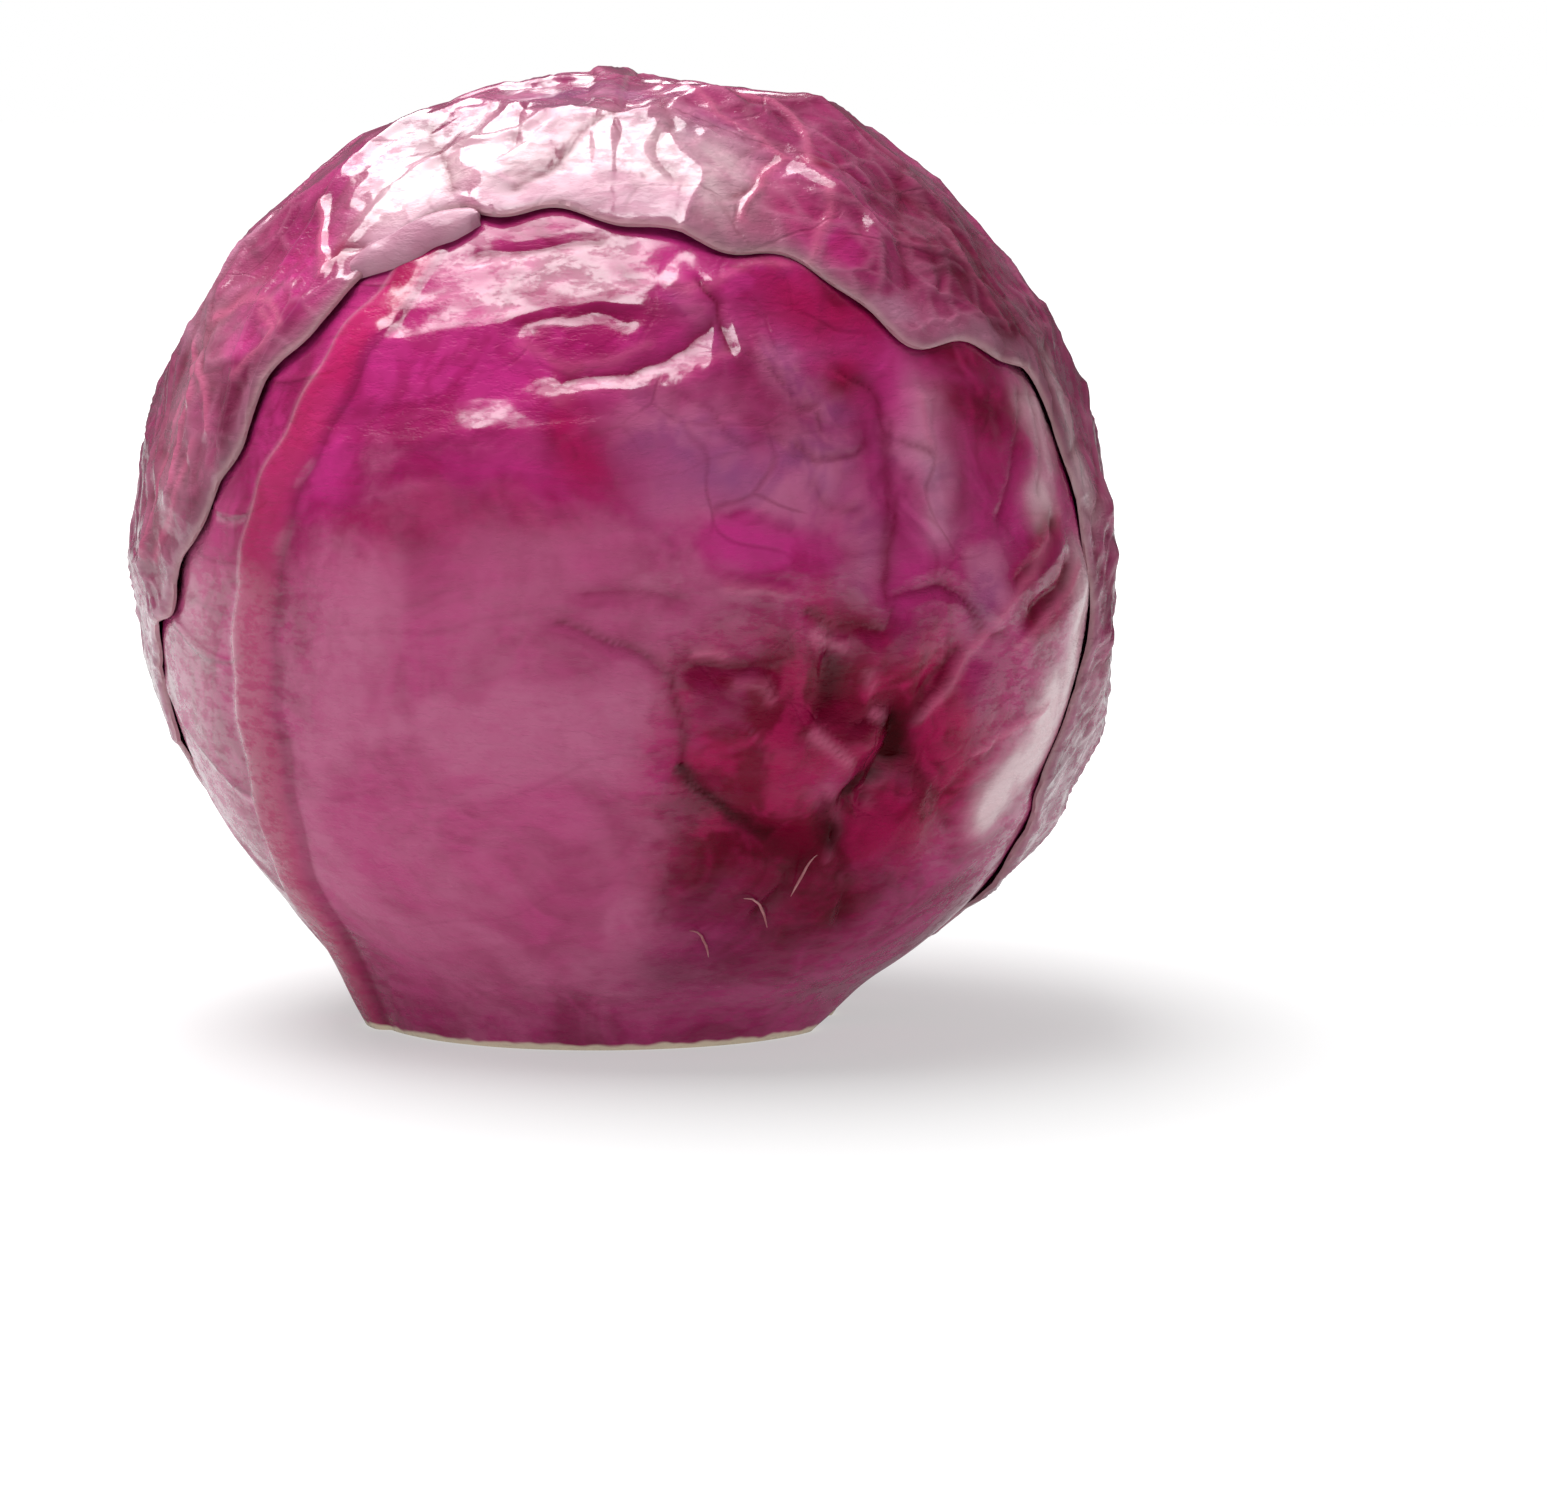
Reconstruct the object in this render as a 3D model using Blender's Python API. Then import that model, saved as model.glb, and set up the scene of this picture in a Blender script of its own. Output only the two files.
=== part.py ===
"""A whole red cabbage head, cut flat at the stem.

The head stands on its cut stem at the origin, with +Z up and its front towards -Y. Places on it
are seen from the middle of the ball that the leaves close into: turn is the angle round the head
(0 front, 90 right, 180 back, -90 left) and height is the angle above the middle, both in degrees.
A wrapper leaf is laid on the ball from a middle of its own, and its outline is how far it reaches,
in degrees, at each bearing from there (0 towards the tip, 180 towards the stem).
"""

import math
from dataclasses import dataclass

import bmesh
import bpy
import numpy as np

MM = 0.001

# The ball of the head
BALL_RADIUS = 79.7 * MM
BALL_HEIGHT = 75.7 * MM
LUMP = 0.7 * MM
LUMP_PITCH = 190 * MM
LUMP_WAVES = 9
WAVE_SPREAD = (0.75, 1.25)

# Broad swells and dents of the whole head: turn, height, rise and width
SWELLS = (
    (85, 27, -2.9 * MM, 34 * MM),
    (60, 88, -1.6 * MM, 28 * MM),
    (-90, 43, 1.6 * MM, 30 * MM),
    (-90, 10, 0.7 * MM, 18 * MM),
)

# The foot, where the ribs run down to the knife cut
FOOT_RADIUS = 36.5 * MM
FOOT_OVAL = 2.5 * MM
FOOT_SKEW = 4.0 * MM
FOOT_SKEW_TURN = -70.0
FOOT_SLOPE = 0.634
FOOT_TOP = -28.0
FOOT_BLEND = 2.5 * MM

# Leaf blades
BLADE = 1.2 * MM
BASE_FULL = 2.5 * MM
BASE_RISE = 10.0 * MM
BASE_SIDES = (0.05, 0.45)
LEVEL_TURN = (0.72, 0.9)
UNDER_DEPTH = 2.5 * MM
UNDER_EDGE = (-5.0 * MM, 3.0 * MM)
VEIN_ENDS = (-0.76, 0.8)
UNDER_RELIEF = 0.1
BASE_ROWS = (-1.0, -0.96, -0.92, -0.87)
TIP_ROWS = (0.9, 1.0)
VEIN_FOOT = 2.0
CRUMPLE_COLUMNS = 18
LIFT_REACH = 9.0 * MM
SWELL_PITCH = 48.0 * MM
SWELL_WAVES = 14

# Ribs: how the midrib narrows and sinks towards the tip, how a vein fades outwards and towards the
# tip, and how the veins leave the midrib
RIB_TAPER = (1.1, 0.35)
RIB_FALL = 0.8
RIB_ROUND = 2.0
RIB_FLANK = 0.55
RIB_BELLY = 1.1
VEIN_OUTWARDS = 0.7
VEIN_TIPWARDS = (1.1, 0.5)
SWEEP_CURVE = 1.3
SIDE_SWITCH = 9.0

FACET_PITCH = 27.0 * MM
FACET_LEAN = 0.07

# The stem and its core inside the head
STEM_RADIUS = 26.0 * MM
SEAM = 0.8 * MM
STEM_PROFILE = ((26.0, 0.0), (25.4, 5.0), (21.0, 11.0), (17.0, 24.0), (13.0, 40.0), (7.0, 53.0), (2.0, 58.0))
STEM_SIDES = 40

# The heart of closed inner leaves
HEART_DEPTH = 7.6 * MM
HEART_STEP = 0.9 * MM
HEART_LEAVES = 7
HEART_TILT = (12.0, 5.0)
HEART_EDGE = (52.0, 56.0)
HEART_WAVER = 4.0
HEART_WAVE = 90 * MM
HEART_WAVES = 6
HEART_RINGS = 22
HEART_SIDES = 40
GOLDEN_ANGLE = 137.5
HEART_FLOOR = 17.0 * MM
SOCKET_SIDE = 0.6 * MM
SOCKET_TOP = 0.8 * MM
SOCKET_BELOW = 5.0 * MM

# A leaf's edge: how far its corners are softened, in degrees, and its ripples round the leaf
OUTLINE_SOFTNESS = 2.2
OUTLINE_REACH = 12
RIPPLES = (13, 29)

LEAF_ROUGHNESS = 0.4
HEART_COLOUR = (0.3, 0.04, 0.16)
HEART_ROUGHNESS = 0.45
STEM_COLOUR = (0.75, 0.66, 0.5)
STEM_ROUGHNESS = 0.6

SHARP_ANGLE = 50.0
LEAST = 1e-6
KNIFE_SIZE = 0.3
SEED = 7


@dataclass
class Fold:
    """A fold of a blade along a line of places (turn, height) on the head. It rises by its height, or
    sinks where that is negative, and falls away over one width above the line and another below."""

    path: tuple
    height: float
    above: float
    below: float


@dataclass
class Leaf:
    """One wrapper leaf. Widths, heights and depths are in metres, angles in degrees."""

    name: str
    turn: float
    height: float
    outline: tuple
    depth: float
    under: tuple = ()
    rib_path: tuple = (0.0, 0.0, 0.0)
    rib_width: float = 4.5 * MM
    rib_height: float = 2.2 * MM
    half_spans: tuple = (130 * MM, 130 * MM)
    length: float = 210 * MM
    columns: tuple = (14, 14)
    crumpled: tuple = ()
    veins: int = 8
    vein_width: float = 2.8 * MM
    vein_height: float = 1.4 * MM
    sweep: float = 0.25
    stagger: float = 0.09
    swell: float = 0.0
    lift: float = 0.0
    ripple: float = 0.6
    faceted: bool = False
    folds: tuple = ()
    colour: tuple = (0.25, 0.03, 0.11)


# The pleats of the front leaf's upper part, the folds round its hollow at the lower right, and the
# pleats on its right edge
FRONT_FOLDS = (
    Fold(((-34, 29), (-22, 31), (-12, 32.5), (1, 34)), 1.5 * MM, 7 * MM, 9 * MM),
    Fold(((-35, 17), (-23, 18), (-14, 19), (-5, 20)), 1.4 * MM, 4.5 * MM, 10 * MM),
    Fold(((-9, 23), (1, 24), (6, 24.5), (11, 28), (20, 27)), 1.3 * MM, 5 * MM, 9 * MM),
    Fold(((5, 36), (13, 38), (24, 40)), 1.0 * MM, 4 * MM, 6 * MM),
    Fold(((32, 22), (32, 10), (30, 2)), -0.9 * MM, 4 * MM, 4 * MM),
    Fold(((33, -13), (34, -17), (31, -24)), -3.6 * MM, 5 * MM, 5 * MM),
    Fold(((34, -16), (37, -10), (42, -6)), -2.2 * MM, 4.5 * MM, 4.5 * MM),
    Fold(((23, -3), (24, -11)), -2.6 * MM, 4.5 * MM, 4.5 * MM),
    Fold(((8, -6.5), (16, -6.5)), -1.6 * MM, 4 * MM, 4 * MM),
    Fold(((8, -20), (14, -25), (21, -30)), -2.8 * MM, 5 * MM, 5 * MM),
    Fold(((27, -26), (31, -35)), -2.2 * MM, 4.5 * MM, 4.5 * MM),
    Fold(((37, -20), (48, -29)), -1.6 * MM, 5 * MM, 5 * MM),
    Fold(((21, -13), (27, -19)), 1.3 * MM, 4 * MM, 4 * MM),
    Fold(((46, -2), (58, 4)), 1.2 * MM, 4 * MM, 4 * MM),
    Fold(((53, -6), (66, 0)), 1.2 * MM, 4 * MM, 4 * MM),
)

# The creases that part the hood leaf's flat facets
HOOD_FOLDS = (
    Fold(((-20, 52), (-14, 56), (-7, 63), (3, 68)), -0.9 * MM, 4 * MM, 4 * MM),
    Fold(((-58, 62), (-42, 56), (-33, 51)), -0.8 * MM, 4 * MM, 4 * MM),
    Fold(((34, 71), (38, 65), (39, 55), (38, 50)), 0.9 * MM, 4 * MM, 4 * MM),
    Fold(((34, 58), (25, 53), (18, 50)), -0.8 * MM, 4 * MM, 4 * MM),
    Fold(((59, 50), (47, 43), (42, 37)), -0.8 * MM, 4 * MM, 4 * MM),
    Fold(((-70, 33), (-60, 34), (-52, 32)), 0.9 * MM, 4 * MM, 4 * MM),
    Fold(((-87, 14), (-72, 12), (-64, 10)), 0.9 * MM, 4 * MM, 4 * MM),
)

HOOD_OUTLINE = (
    (1, 94), (5, 93), (9, 91.5), (14, 91), (18, 92.5), (21, 94.5), (27, 96), (35, 97.5), (40, 98.5),
    (44, 99.5), (48, 101.5), (51, 104.5), (55, 107), (60, 109.5), (70, 109.5), (78, 110), (86, 106.5),
    (100, 107), (120, 108), (150, 110), (158, 116), (207, 116), (225, 119), (240, 122), (255, 124),
    (268, 123), (271, 118), (277, 112.5), (282, 108.5), (287, 105), (291, 102),
    (295, 100), (299, 95), (304, 93), (308, 94), (312, 95.5), (318, 97), (323, 100), (328, 102.5),
    (332, 100.5), (335, 98.5), (340, 97), (347, 97), (353, 95.5),
)
FRONT_OUTLINE = (
    (0, 62), (20, 64), (40, 71), (60, 81), (75, 90), (90, 94), (105, 95), (120, 92), (135, 85),
    (148, 84), (158, 80), (180, 72), (195, 76), (206, 88), (214, 92), (225, 95), (245, 98), (270, 100),
    (285, 96), (300, 88), (320, 75), (340, 65),
)
SIDE_OUTLINE = (
    (0, 54), (30, 52), (60, 46), (90, 40), (120, 36), (145, 30), (162, 27), (170, 34), (180, 52),
    (190, 34), (198, 27), (215, 30), (240, 36), (270, 40), (300, 46), (330, 52),
)

HOOD = Leaf(
    "hood_leaf", 180, 40, HOOD_OUTLINE, 0.0, half_spans=(155 * MM, 155 * MM), length=270 * MM,
    rib_path=(0.0, 0.03, 0.04), rib_width=6.0 * MM, rib_height=3.8 * MM, columns=(15, 15),
    swell=0.4 * MM, lift=1.1 * MM, faceted=True, folds=HOOD_FOLDS, colour=(0.22, 0.05, 0.12),
)
FRONT = Leaf(
    "front_leaf", 0, 0, FRONT_OUTLINE, 0.8 * MM, under=(HOOD,), half_spans=(76 * MM, 195 * MM),
    length=190 * MM, rib_path=(-0.475, 0.095, -0.03), rib_width=6.2 * MM, rib_height=2.6 * MM,
    columns=(8, 23), crumpled=(0.36, 0.8), swell=0.5 * MM, folds=FRONT_FOLDS, colour=(0.33, 0.05, 0.15),
)
SIDE = dict(
    outline=SIDE_OUTLINE, depth=4.3 * MM, under=(HOOD, FRONT), half_spans=(70 * MM, 70 * MM),
    length=120 * MM, rib_width=6.5 * MM, rib_height=2.9 * MM, veins=5, columns=(8, 8),
    colour=(0.42, 0.14, 0.22),
)
LEFT = Leaf("left_leaf", -105.5, -24, **SIDE)
RIGHT = Leaf("right_leaf", 91, -24, **SIDE)


def direction(turn, height):
    """Unit vectors out of the head's middle, for angles in degrees."""
    turn, height = np.radians(turn), np.radians(height)
    return np.stack(
        [np.sin(turn) * np.cos(height), -np.cos(turn) * np.cos(height), np.sin(height) + 0 * turn], axis=-1
    )


def smooth_step(x, low, high):
    share = np.clip((x - low) / (high - low), 0.0, 1.0)
    return share * share * (3 - 2 * share)


def smooth_max(a, b, blend):
    near = np.maximum(blend - np.abs(a - b), 0.0) / blend
    return np.maximum(a, b) + near * near * blend / 4


def waves(out, count, pitch, seed):
    """A gentle random relief from -1 to 1 over the ball, with swells about one pitch across."""
    draw = np.random.default_rng(seed)
    axes = draw.normal(size=(count, 3))
    axes /= np.linalg.norm(axes, axis=1, keepdims=True)
    phases = draw.uniform(0, 2 * math.pi, count)
    turns = 2 * math.pi * BALL_RADIUS / pitch * draw.uniform(*WAVE_SPREAD, count)
    return np.sin(out @ (axes * turns[:, None]).T + phases).sum(axis=-1) / math.sqrt(2 * count)


def head_reach(out):
    """How far the outside of the closed head lies from its middle, in each direction."""
    rise = np.clip(out[..., 2], -1, 1)
    level = np.sqrt(1 - rise * rise)
    turn = np.arctan2(out[..., 0], -out[..., 1])
    foot = FOOT_RADIUS + FOOT_SKEW * np.cos(turn - math.radians(FOOT_SKEW_TURN))
    foot = foot - FOOT_OVAL * np.cos(2 * turn)
    in_foot = rise < math.sin(math.radians(FOOT_TOP))
    narrowing = np.where(in_foot, level - FOOT_SLOPE * rise, 1)
    cone = np.where(in_foot, (foot + FOOT_SLOPE * BALL_HEIGHT) / narrowing, 0)
    ball = BALL_RADIUS + LUMP * waves(out, LUMP_WAVES, LUMP_PITCH, SEED)
    for swell_turn, swell_height, rise_by, width in SWELLS:
        off = np.linalg.norm(out - direction(swell_turn, swell_height), axis=-1) * BALL_RADIUS
        ball = ball + rise_by * np.exp(-((off / width) ** 2))
    return smooth_max(ball, cone, FOOT_BLEND)


def leaf_axes(leaf):
    """The leaf's middle on the ball, the way to its tip, and the way to its right, seen from outside."""
    middle = direction(leaf.turn, leaf.height)
    tip = direction(leaf.turn, leaf.height + 90)
    return middle, tip, np.cross(tip, middle)


def leaf_edge(leaf, bearing):
    """How far the leaf reaches at a bearing, both in degrees, with its softened corners and ripples."""
    whole = np.arange(360)
    reach = np.interp(whole, *zip(*leaf.outline), period=360)
    offsets = np.arange(-OUTLINE_REACH, OUTLINE_REACH + 1)
    kernel = np.exp(-0.5 * (offsets / OUTLINE_SOFTNESS) ** 2)
    reach = np.convolve(np.tile(reach, 3), kernel / kernel.sum(), "same")[360:720]
    phases = (leaf.turn, leaf.height)
    ripple = sum(np.sin(np.radians(count * bearing + phase)) for count, phase in zip(RIPPLES, phases))
    return np.interp(bearing, whole, reach, period=360) + leaf.ripple * ripple


def inside_leaf(leaf, out):
    """How far inside the leaf's edge each direction lies, in metres along the ball. Outside is negative."""
    middle, tip, right = leaf_axes(leaf)
    reach = np.degrees(np.arccos(np.clip(out @ middle, -1, 1)))
    bearing = np.degrees(np.arctan2(out @ right, out @ tip)) % 360
    return np.radians(leaf_edge(leaf, bearing) - reach) * BALL_RADIUS


def leaf_places(leaf, across, along):
    """Directions for a leaf's own coordinates: across is 0 on the midrib and -1 or 1 on the edges,
    and along runs from -1 at the stem end to 1 at the tip."""
    side = np.tanh(across * SIDE_SWITCH)
    across, along = np.broadcast_arrays(across, along)
    lean = leaf.sweep * np.abs(across) ** SWEEP_CURVE + leaf.stagger / 2 * side
    y = along + lean * (1 - along * along)
    rib = leaf.rib_path[0] + leaf.rib_path[1] * y + leaf.rib_path[2] * y * y
    x = rib + across * np.where(across < 0, 1 + rib, 1 - rib)
    disc_x, disc_y = x * np.sqrt(1 - y * y / 2), y * np.sqrt(1 - x * x / 2)
    bearing = np.arctan2(disc_x, disc_y)
    reach = np.hypot(disc_x, disc_y) * np.radians(leaf_edge(leaf, np.degrees(bearing) % 360))
    middle, tip, right = leaf_axes(leaf)
    ring = np.cos(bearing)[..., None] * tip + np.sin(bearing)[..., None] * right
    return middle * np.cos(reach)[..., None] + ring * np.sin(reach)[..., None]


def column_places(leaf):
    """Where the columns cross the leaf: close over the midrib and the crumpled part, and even elsewhere."""

    def half(span, count):
        rib = leaf.rib_width / span
        return np.concatenate([[rib * RIB_FLANK, rib], np.linspace(rib, 1, count - 1)[1:]])

    left, right = (half(span, count) for span, count in zip(leaf.half_spans, leaf.columns))
    if leaf.crumpled:
        low, high = leaf.crumpled
        outside = right[(right < low) | (right > high)]
        right = np.sort(np.concatenate([outside, np.linspace(low, high, CRUMPLE_COLUMNS)]))
    return np.concatenate([-left[::-1], [0.0], right])


def vein_places(leaf):
    """Where along the midrib each pair of side veins starts."""
    return np.linspace(*VEIN_ENDS, leaf.veins)


def row_places(leaf):
    """Rows on each side vein, close beside it, and halfway to the next."""
    veins, beside = vein_places(leaf), VEIN_FOOT * leaf.vein_width / leaf.length
    between = (veins[1:] + veins[:-1]) / 2
    return np.sort(np.concatenate([BASE_ROWS, TIP_ROWS, veins, veins - beside, veins + beside, between]))


def ribs(leaf, across, along, out):
    """The height of the midrib and the side veins over the blade."""
    towards_tip = (along + 1) / 2
    span = np.where(across < 0, *leaf.half_spans)
    from_rib = np.abs(across) * span
    width = leaf.rib_width * (RIB_TAPER[0] - RIB_TAPER[1] * towards_tip)
    midrib = np.maximum(1 - (from_rib / width) ** RIB_ROUND, 0)
    midrib = leaf.rib_height * (1 - towards_tip) ** RIB_FALL * midrib
    veins = np.zeros(out.shape[:2])
    for place in vein_places(leaf):
        off = np.linalg.norm(out - leaf_places(leaf, across, place), axis=-1) * BALL_RADIUS
        veins = np.maximum(veins, np.maximum(1 - off / leaf.vein_width, 0))
    fade = (1 - VEIN_OUTWARDS * np.abs(across)) * (VEIN_TIPWARDS[0] - VEIN_TIPWARDS[1] * towards_tip)
    return np.maximum(midrib, leaf.vein_height * fade * veins)


def fold_relief(folds, out):
    """How far the folds raise or sink a blade at each direction. Crossing folds don't add up."""
    raised, sunk = np.zeros(out.shape[:2]), np.zeros(out.shape[:2])
    for fold in folds:
        relief = np.zeros(out.shape[:2])
        for start, end in zip(fold.path, fold.path[1:]):
            first, last = direction(*start), direction(*end)
            run = last - first
            share = np.clip((out - first) @ run / (run @ run), 0, 1)
            off = np.linalg.norm(out - first - share[..., None] * run, axis=-1)
            side = out @ np.cross(first, last) / np.linalg.norm(np.cross(first, last))
            upper = 0.5 + 0.5 * np.clip(side / np.maximum(off, LEAST), -1, 1)
            width = fold.below + (fold.above - fold.below) * upper
            relief = np.maximum(relief, np.exp(-((off * BALL_RADIUS / width) ** 2)))
        raised = np.maximum(raised, fold.height * relief)
        sunk = np.minimum(sunk, fold.height * relief)
    return raised + sunk


def facet_relief(out, pitch, seed):
    """The relief of flat facets about one pitch wide: the ball as cut by leaning planes."""
    count = int(4 * math.pi * (BALL_RADIUS / pitch) ** 2)
    draw = np.random.default_rng(seed)
    step = np.arange(count) + 0.5
    rise = 1 - 2 * step / count
    turn = step * math.radians(GOLDEN_ANGLE)
    level = np.sqrt(1 - rise * rise)
    planes = np.stack([level * np.sin(turn), -level * np.cos(turn), rise], axis=-1)
    planes += draw.normal(scale=FACET_LEAN, size=planes.shape)
    planes /= np.linalg.norm(planes, axis=1, keepdims=True)
    nearest = np.max(out @ planes.T, axis=-1)
    return BALL_RADIUS * (1 / nearest - 1)


def leaf_faces(leaf, across, along):
    """The points of the leaf's outer and inner face, in metres."""
    out = leaf_places(leaf, across, along)
    shown = np.ones(out.shape[:2])
    sunk = np.full(out.shape[:2], leaf.depth)
    for cover in leaf.under:
        beneath = smooth_step(inside_leaf(cover, out), *UNDER_EDGE)
        sunk = sunk + max(UNDER_DEPTH - leaf.depth, 0) * beneath
        shown = shown * (1 - beneath)
    rib_relief = ribs(leaf, across, along, out) * (UNDER_RELIEF + (1 - UNDER_RELIEF) * shown)
    swell = leaf.swell * (0.5 + 0.5 * waves(out, SWELL_WAVES, SWELL_PITCH, SEED + leaf.veins))
    relief = rib_relief + shown * (swell + fold_relief(leaf.folds, out))
    if leaf.faceted:
        relief = relief + facet_relief(out, FACET_PITCH, SEED)
    relief = relief + leaf.lift * np.exp(-((inside_leaf(leaf, out) / LIFT_REACH) ** 2))
    outer = out * (head_reach(out) - sunk + relief)[..., None] + (0, 0, BALL_HEIGHT)

    # Thickness runs straight in on the ball, and level in the foot, where it fills up to the stem
    low = 1 - smooth_step(outer[..., 2], BASE_FULL, BASE_RISE)
    low = low * smooth_step(1 - np.abs(across), *BASE_SIDES)
    inward = out.copy()
    inward[..., 2] *= 1 - smooth_step(-out[..., 2], *LEVEL_TURN)
    inward /= np.linalg.norm(inward, axis=-1, keepdims=True)
    to_stem = np.hypot(outer[..., 0], outer[..., 1]) - STEM_RADIUS - SEAM
    thick = BLADE + RIB_BELLY * rib_relief + low * np.maximum(to_stem - BLADE, 0)
    return outer, outer - inward * np.minimum(thick, np.maximum(to_stem, BLADE))[..., None]


def shell_mesh(name, outer, inner):
    """A closed shell between two grids of points, cut into triangles alike on both faces."""
    rows, columns = outer.shape[:2]
    mesh = bmesh.new()
    faces = [[[mesh.verts.new(p) for p in row] for row in grid] for grid in (outer, inner)]
    for i in range(rows - 1):
        for j in range(columns - 1):
            for k, grid in enumerate(faces):
                a, b, c, d = grid[i][j], grid[i][j + 1], grid[i + 1][j + 1], grid[i + 1][j]
                for corners in ((a, b, c), (a, c, d)):
                    mesh.faces.new(corners if k == 0 else corners[::-1])
    rim = [(0, j) for j in range(columns)] + [(i, columns - 1) for i in range(1, rows)]
    rim += [(rows - 1, j) for j in range(columns - 2, -1, -1)] + [(i, 0) for i in range(rows - 2, 0, -1)]
    for (i, j), (m, n) in zip(rim, rim[1:] + rim[:1]):
        mesh.faces.new((faces[0][m][n], faces[0][i][j], faces[1][i][j], faces[1][m][n]))
    bmesh.ops.recalc_face_normals(mesh, faces=mesh.faces)
    data = bpy.data.meshes.new(name)
    mesh.to_mesh(data)
    mesh.free()
    return data


def material(name, colour, roughness):
    made = bpy.data.materials.new(name)
    made.use_nodes = True
    skin = made.node_tree.nodes["Principled BSDF"]
    skin.inputs["Base Color"].default_value = (*colour, 1.0)
    skin.inputs["Roughness"].default_value = roughness
    skin.inputs["Metallic"].default_value = 0.0
    return made


def add_object(name, data, colour, roughness):
    made = bpy.data.objects.new(name, data)
    bpy.context.scene.collection.objects.link(made)
    data.materials.append(material(name, colour, roughness))
    data.shade_smooth()
    data.set_sharp_from_angle(angle=math.radians(SHARP_ANGLE))
    return made


def subtract(body, cutter, label):
    cut = body.modifiers.new(label, "BOOLEAN")
    cut.operation = "DIFFERENCE"
    cut.object = cutter


def turned(name, profile, sides):
    """A solid turned about the head's axis from (radius, height) points, bottom to top."""
    mesh = bmesh.new()
    turns = np.linspace(0, 2 * math.pi, sides, endpoint=False)
    rings = [[mesh.verts.new((r * math.cos(a), r * math.sin(a), z)) for a in turns] for r, z in profile]
    for low, high in zip(rings, rings[1:]):
        for i in range(sides):
            j = (i + 1) % sides
            mesh.faces.new((low[i], low[j], high[j], high[i]))
    mesh.faces.new(rings[0][::-1])
    mesh.faces.new(rings[-1])
    data = bpy.data.meshes.new(name)
    mesh.to_mesh(data)
    mesh.free()
    return data


def add_helper(name, data):
    made = bpy.data.objects.new(name, data)
    bpy.context.scene.collection.objects.link(made)
    made.hide_render = True
    made.display_type = "WIRE"
    return made


def add_knife():
    """The block under the table level that cuts the leaf bases flush with the stem."""
    mesh = bmesh.new()
    bmesh.ops.create_cube(mesh, size=KNIFE_SIZE)
    bmesh.ops.translate(mesh, verts=mesh.verts, vec=(0, 0, -KNIFE_SIZE / 2))
    data = bpy.data.meshes.new("knife")
    mesh.to_mesh(data)
    mesh.free()
    return add_helper("knife", data)


def add_stem():
    profile = [(r * MM, z * MM) for r, z in STEM_PROFILE]
    return add_object("stem", turned("stem", profile, STEM_SIDES), STEM_COLOUR, STEM_ROUGHNESS)


def heart_reach(out):
    """The heart's surface, stepped where each closed leaf lies over the ones inside it."""
    floor = (BALL_HEIGHT - HEART_FLOOR) / np.maximum(-out[..., 2], LEAST)
    reach = -smooth_max(HEART_DEPTH - head_reach(out), -floor, FOOT_BLEND)
    for i in range(HEART_LEAVES):
        middle = direction(i * GOLDEN_ANGLE, HEART_TILT[0] + HEART_TILT[1] * i)
        away = np.degrees(np.arccos(np.clip(out @ middle, -1, 1)))
        away += HEART_WAVER * waves(out, HEART_WAVES, HEART_WAVE, SEED + i)
        step = HEART_STEP / 2 if i % 2 else -HEART_STEP / 2
        reach = reach + step * (1 - smooth_step(away, *HEART_EDGE))
    return reach


def add_heart():
    """The closed inner leaves as one solid, with a socket for the core."""
    heights = np.linspace(-90, 90, HEART_RINGS + 1)[1:-1]
    turns = np.linspace(-180, 180, HEART_SIDES, endpoint=False)
    out = direction(turns[None, :], heights[:, None])
    points = out * heart_reach(out)[..., None] + (0, 0, BALL_HEIGHT)
    ends = [direction(0, h) * heart_reach(direction(0, h)[None])[0] + (0, 0, BALL_HEIGHT) for h in (-90, 90)]
    mesh = bmesh.new()
    rings = [[mesh.verts.new(p) for p in ring] for ring in points]
    bottom, top = (mesh.verts.new(p) for p in ends)
    for i in range(HEART_SIDES):
        j = (i + 1) % HEART_SIDES
        mesh.faces.new((rings[0][j], rings[0][i], bottom))
        mesh.faces.new((rings[-1][i], rings[-1][j], top))
        for low, high in zip(rings, rings[1:]):
            mesh.faces.new((low[i], low[j], high[j], high[i]))
    bmesh.ops.recalc_face_normals(mesh, faces=mesh.faces)
    data = bpy.data.meshes.new("heart")
    mesh.to_mesh(data)
    mesh.free()
    heart = add_object("heart", data, HEART_COLOUR, HEART_ROUGHNESS)

    grown = [(r * MM + SOCKET_SIDE, z * MM + (SOCKET_TOP if z else -SOCKET_BELOW)) for r, z in STEM_PROFILE]
    subtract(heart, add_helper("core_socket", turned("core_socket", grown, STEM_SIDES)), "core socket")
    return heart


def add_leaf(leaf, knife):
    across, along = column_places(leaf)[None, :], row_places(leaf)[:, None]
    across, along = np.broadcast_arrays(across, along)
    outer, inner = leaf_faces(leaf, across, along)
    made = add_object(leaf.name, shell_mesh(leaf.name, outer, inner), leaf.colour, LEAF_ROUGHNESS)
    subtract(made, knife, "flush cut")
    return made


def main():
    for old in list(bpy.data.objects):
        bpy.data.objects.remove(old)
    knife = add_knife()
    add_stem()
    add_heart()
    for leaf in (HOOD, FRONT, LEFT, RIGHT):
        add_leaf(leaf, knife)


main()
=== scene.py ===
"""The looks of a whole red cabbage head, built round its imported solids.

Places on the head are seen from the middle of the ball that the leaves close into: turn is the angle
round the head (0 front, 90 right, 180 back, -90 left) and height is the angle above the middle, both
in degrees. A wrapper leaf has coordinates of its own: across is 0 on the midrib and -1 or 1 on the
edges, and along runs from -1 at the stem end to 1 at the tip.
"""

import math
from dataclasses import dataclass

import bmesh
import bpy
import numpy as np
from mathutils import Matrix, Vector, noise


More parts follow.
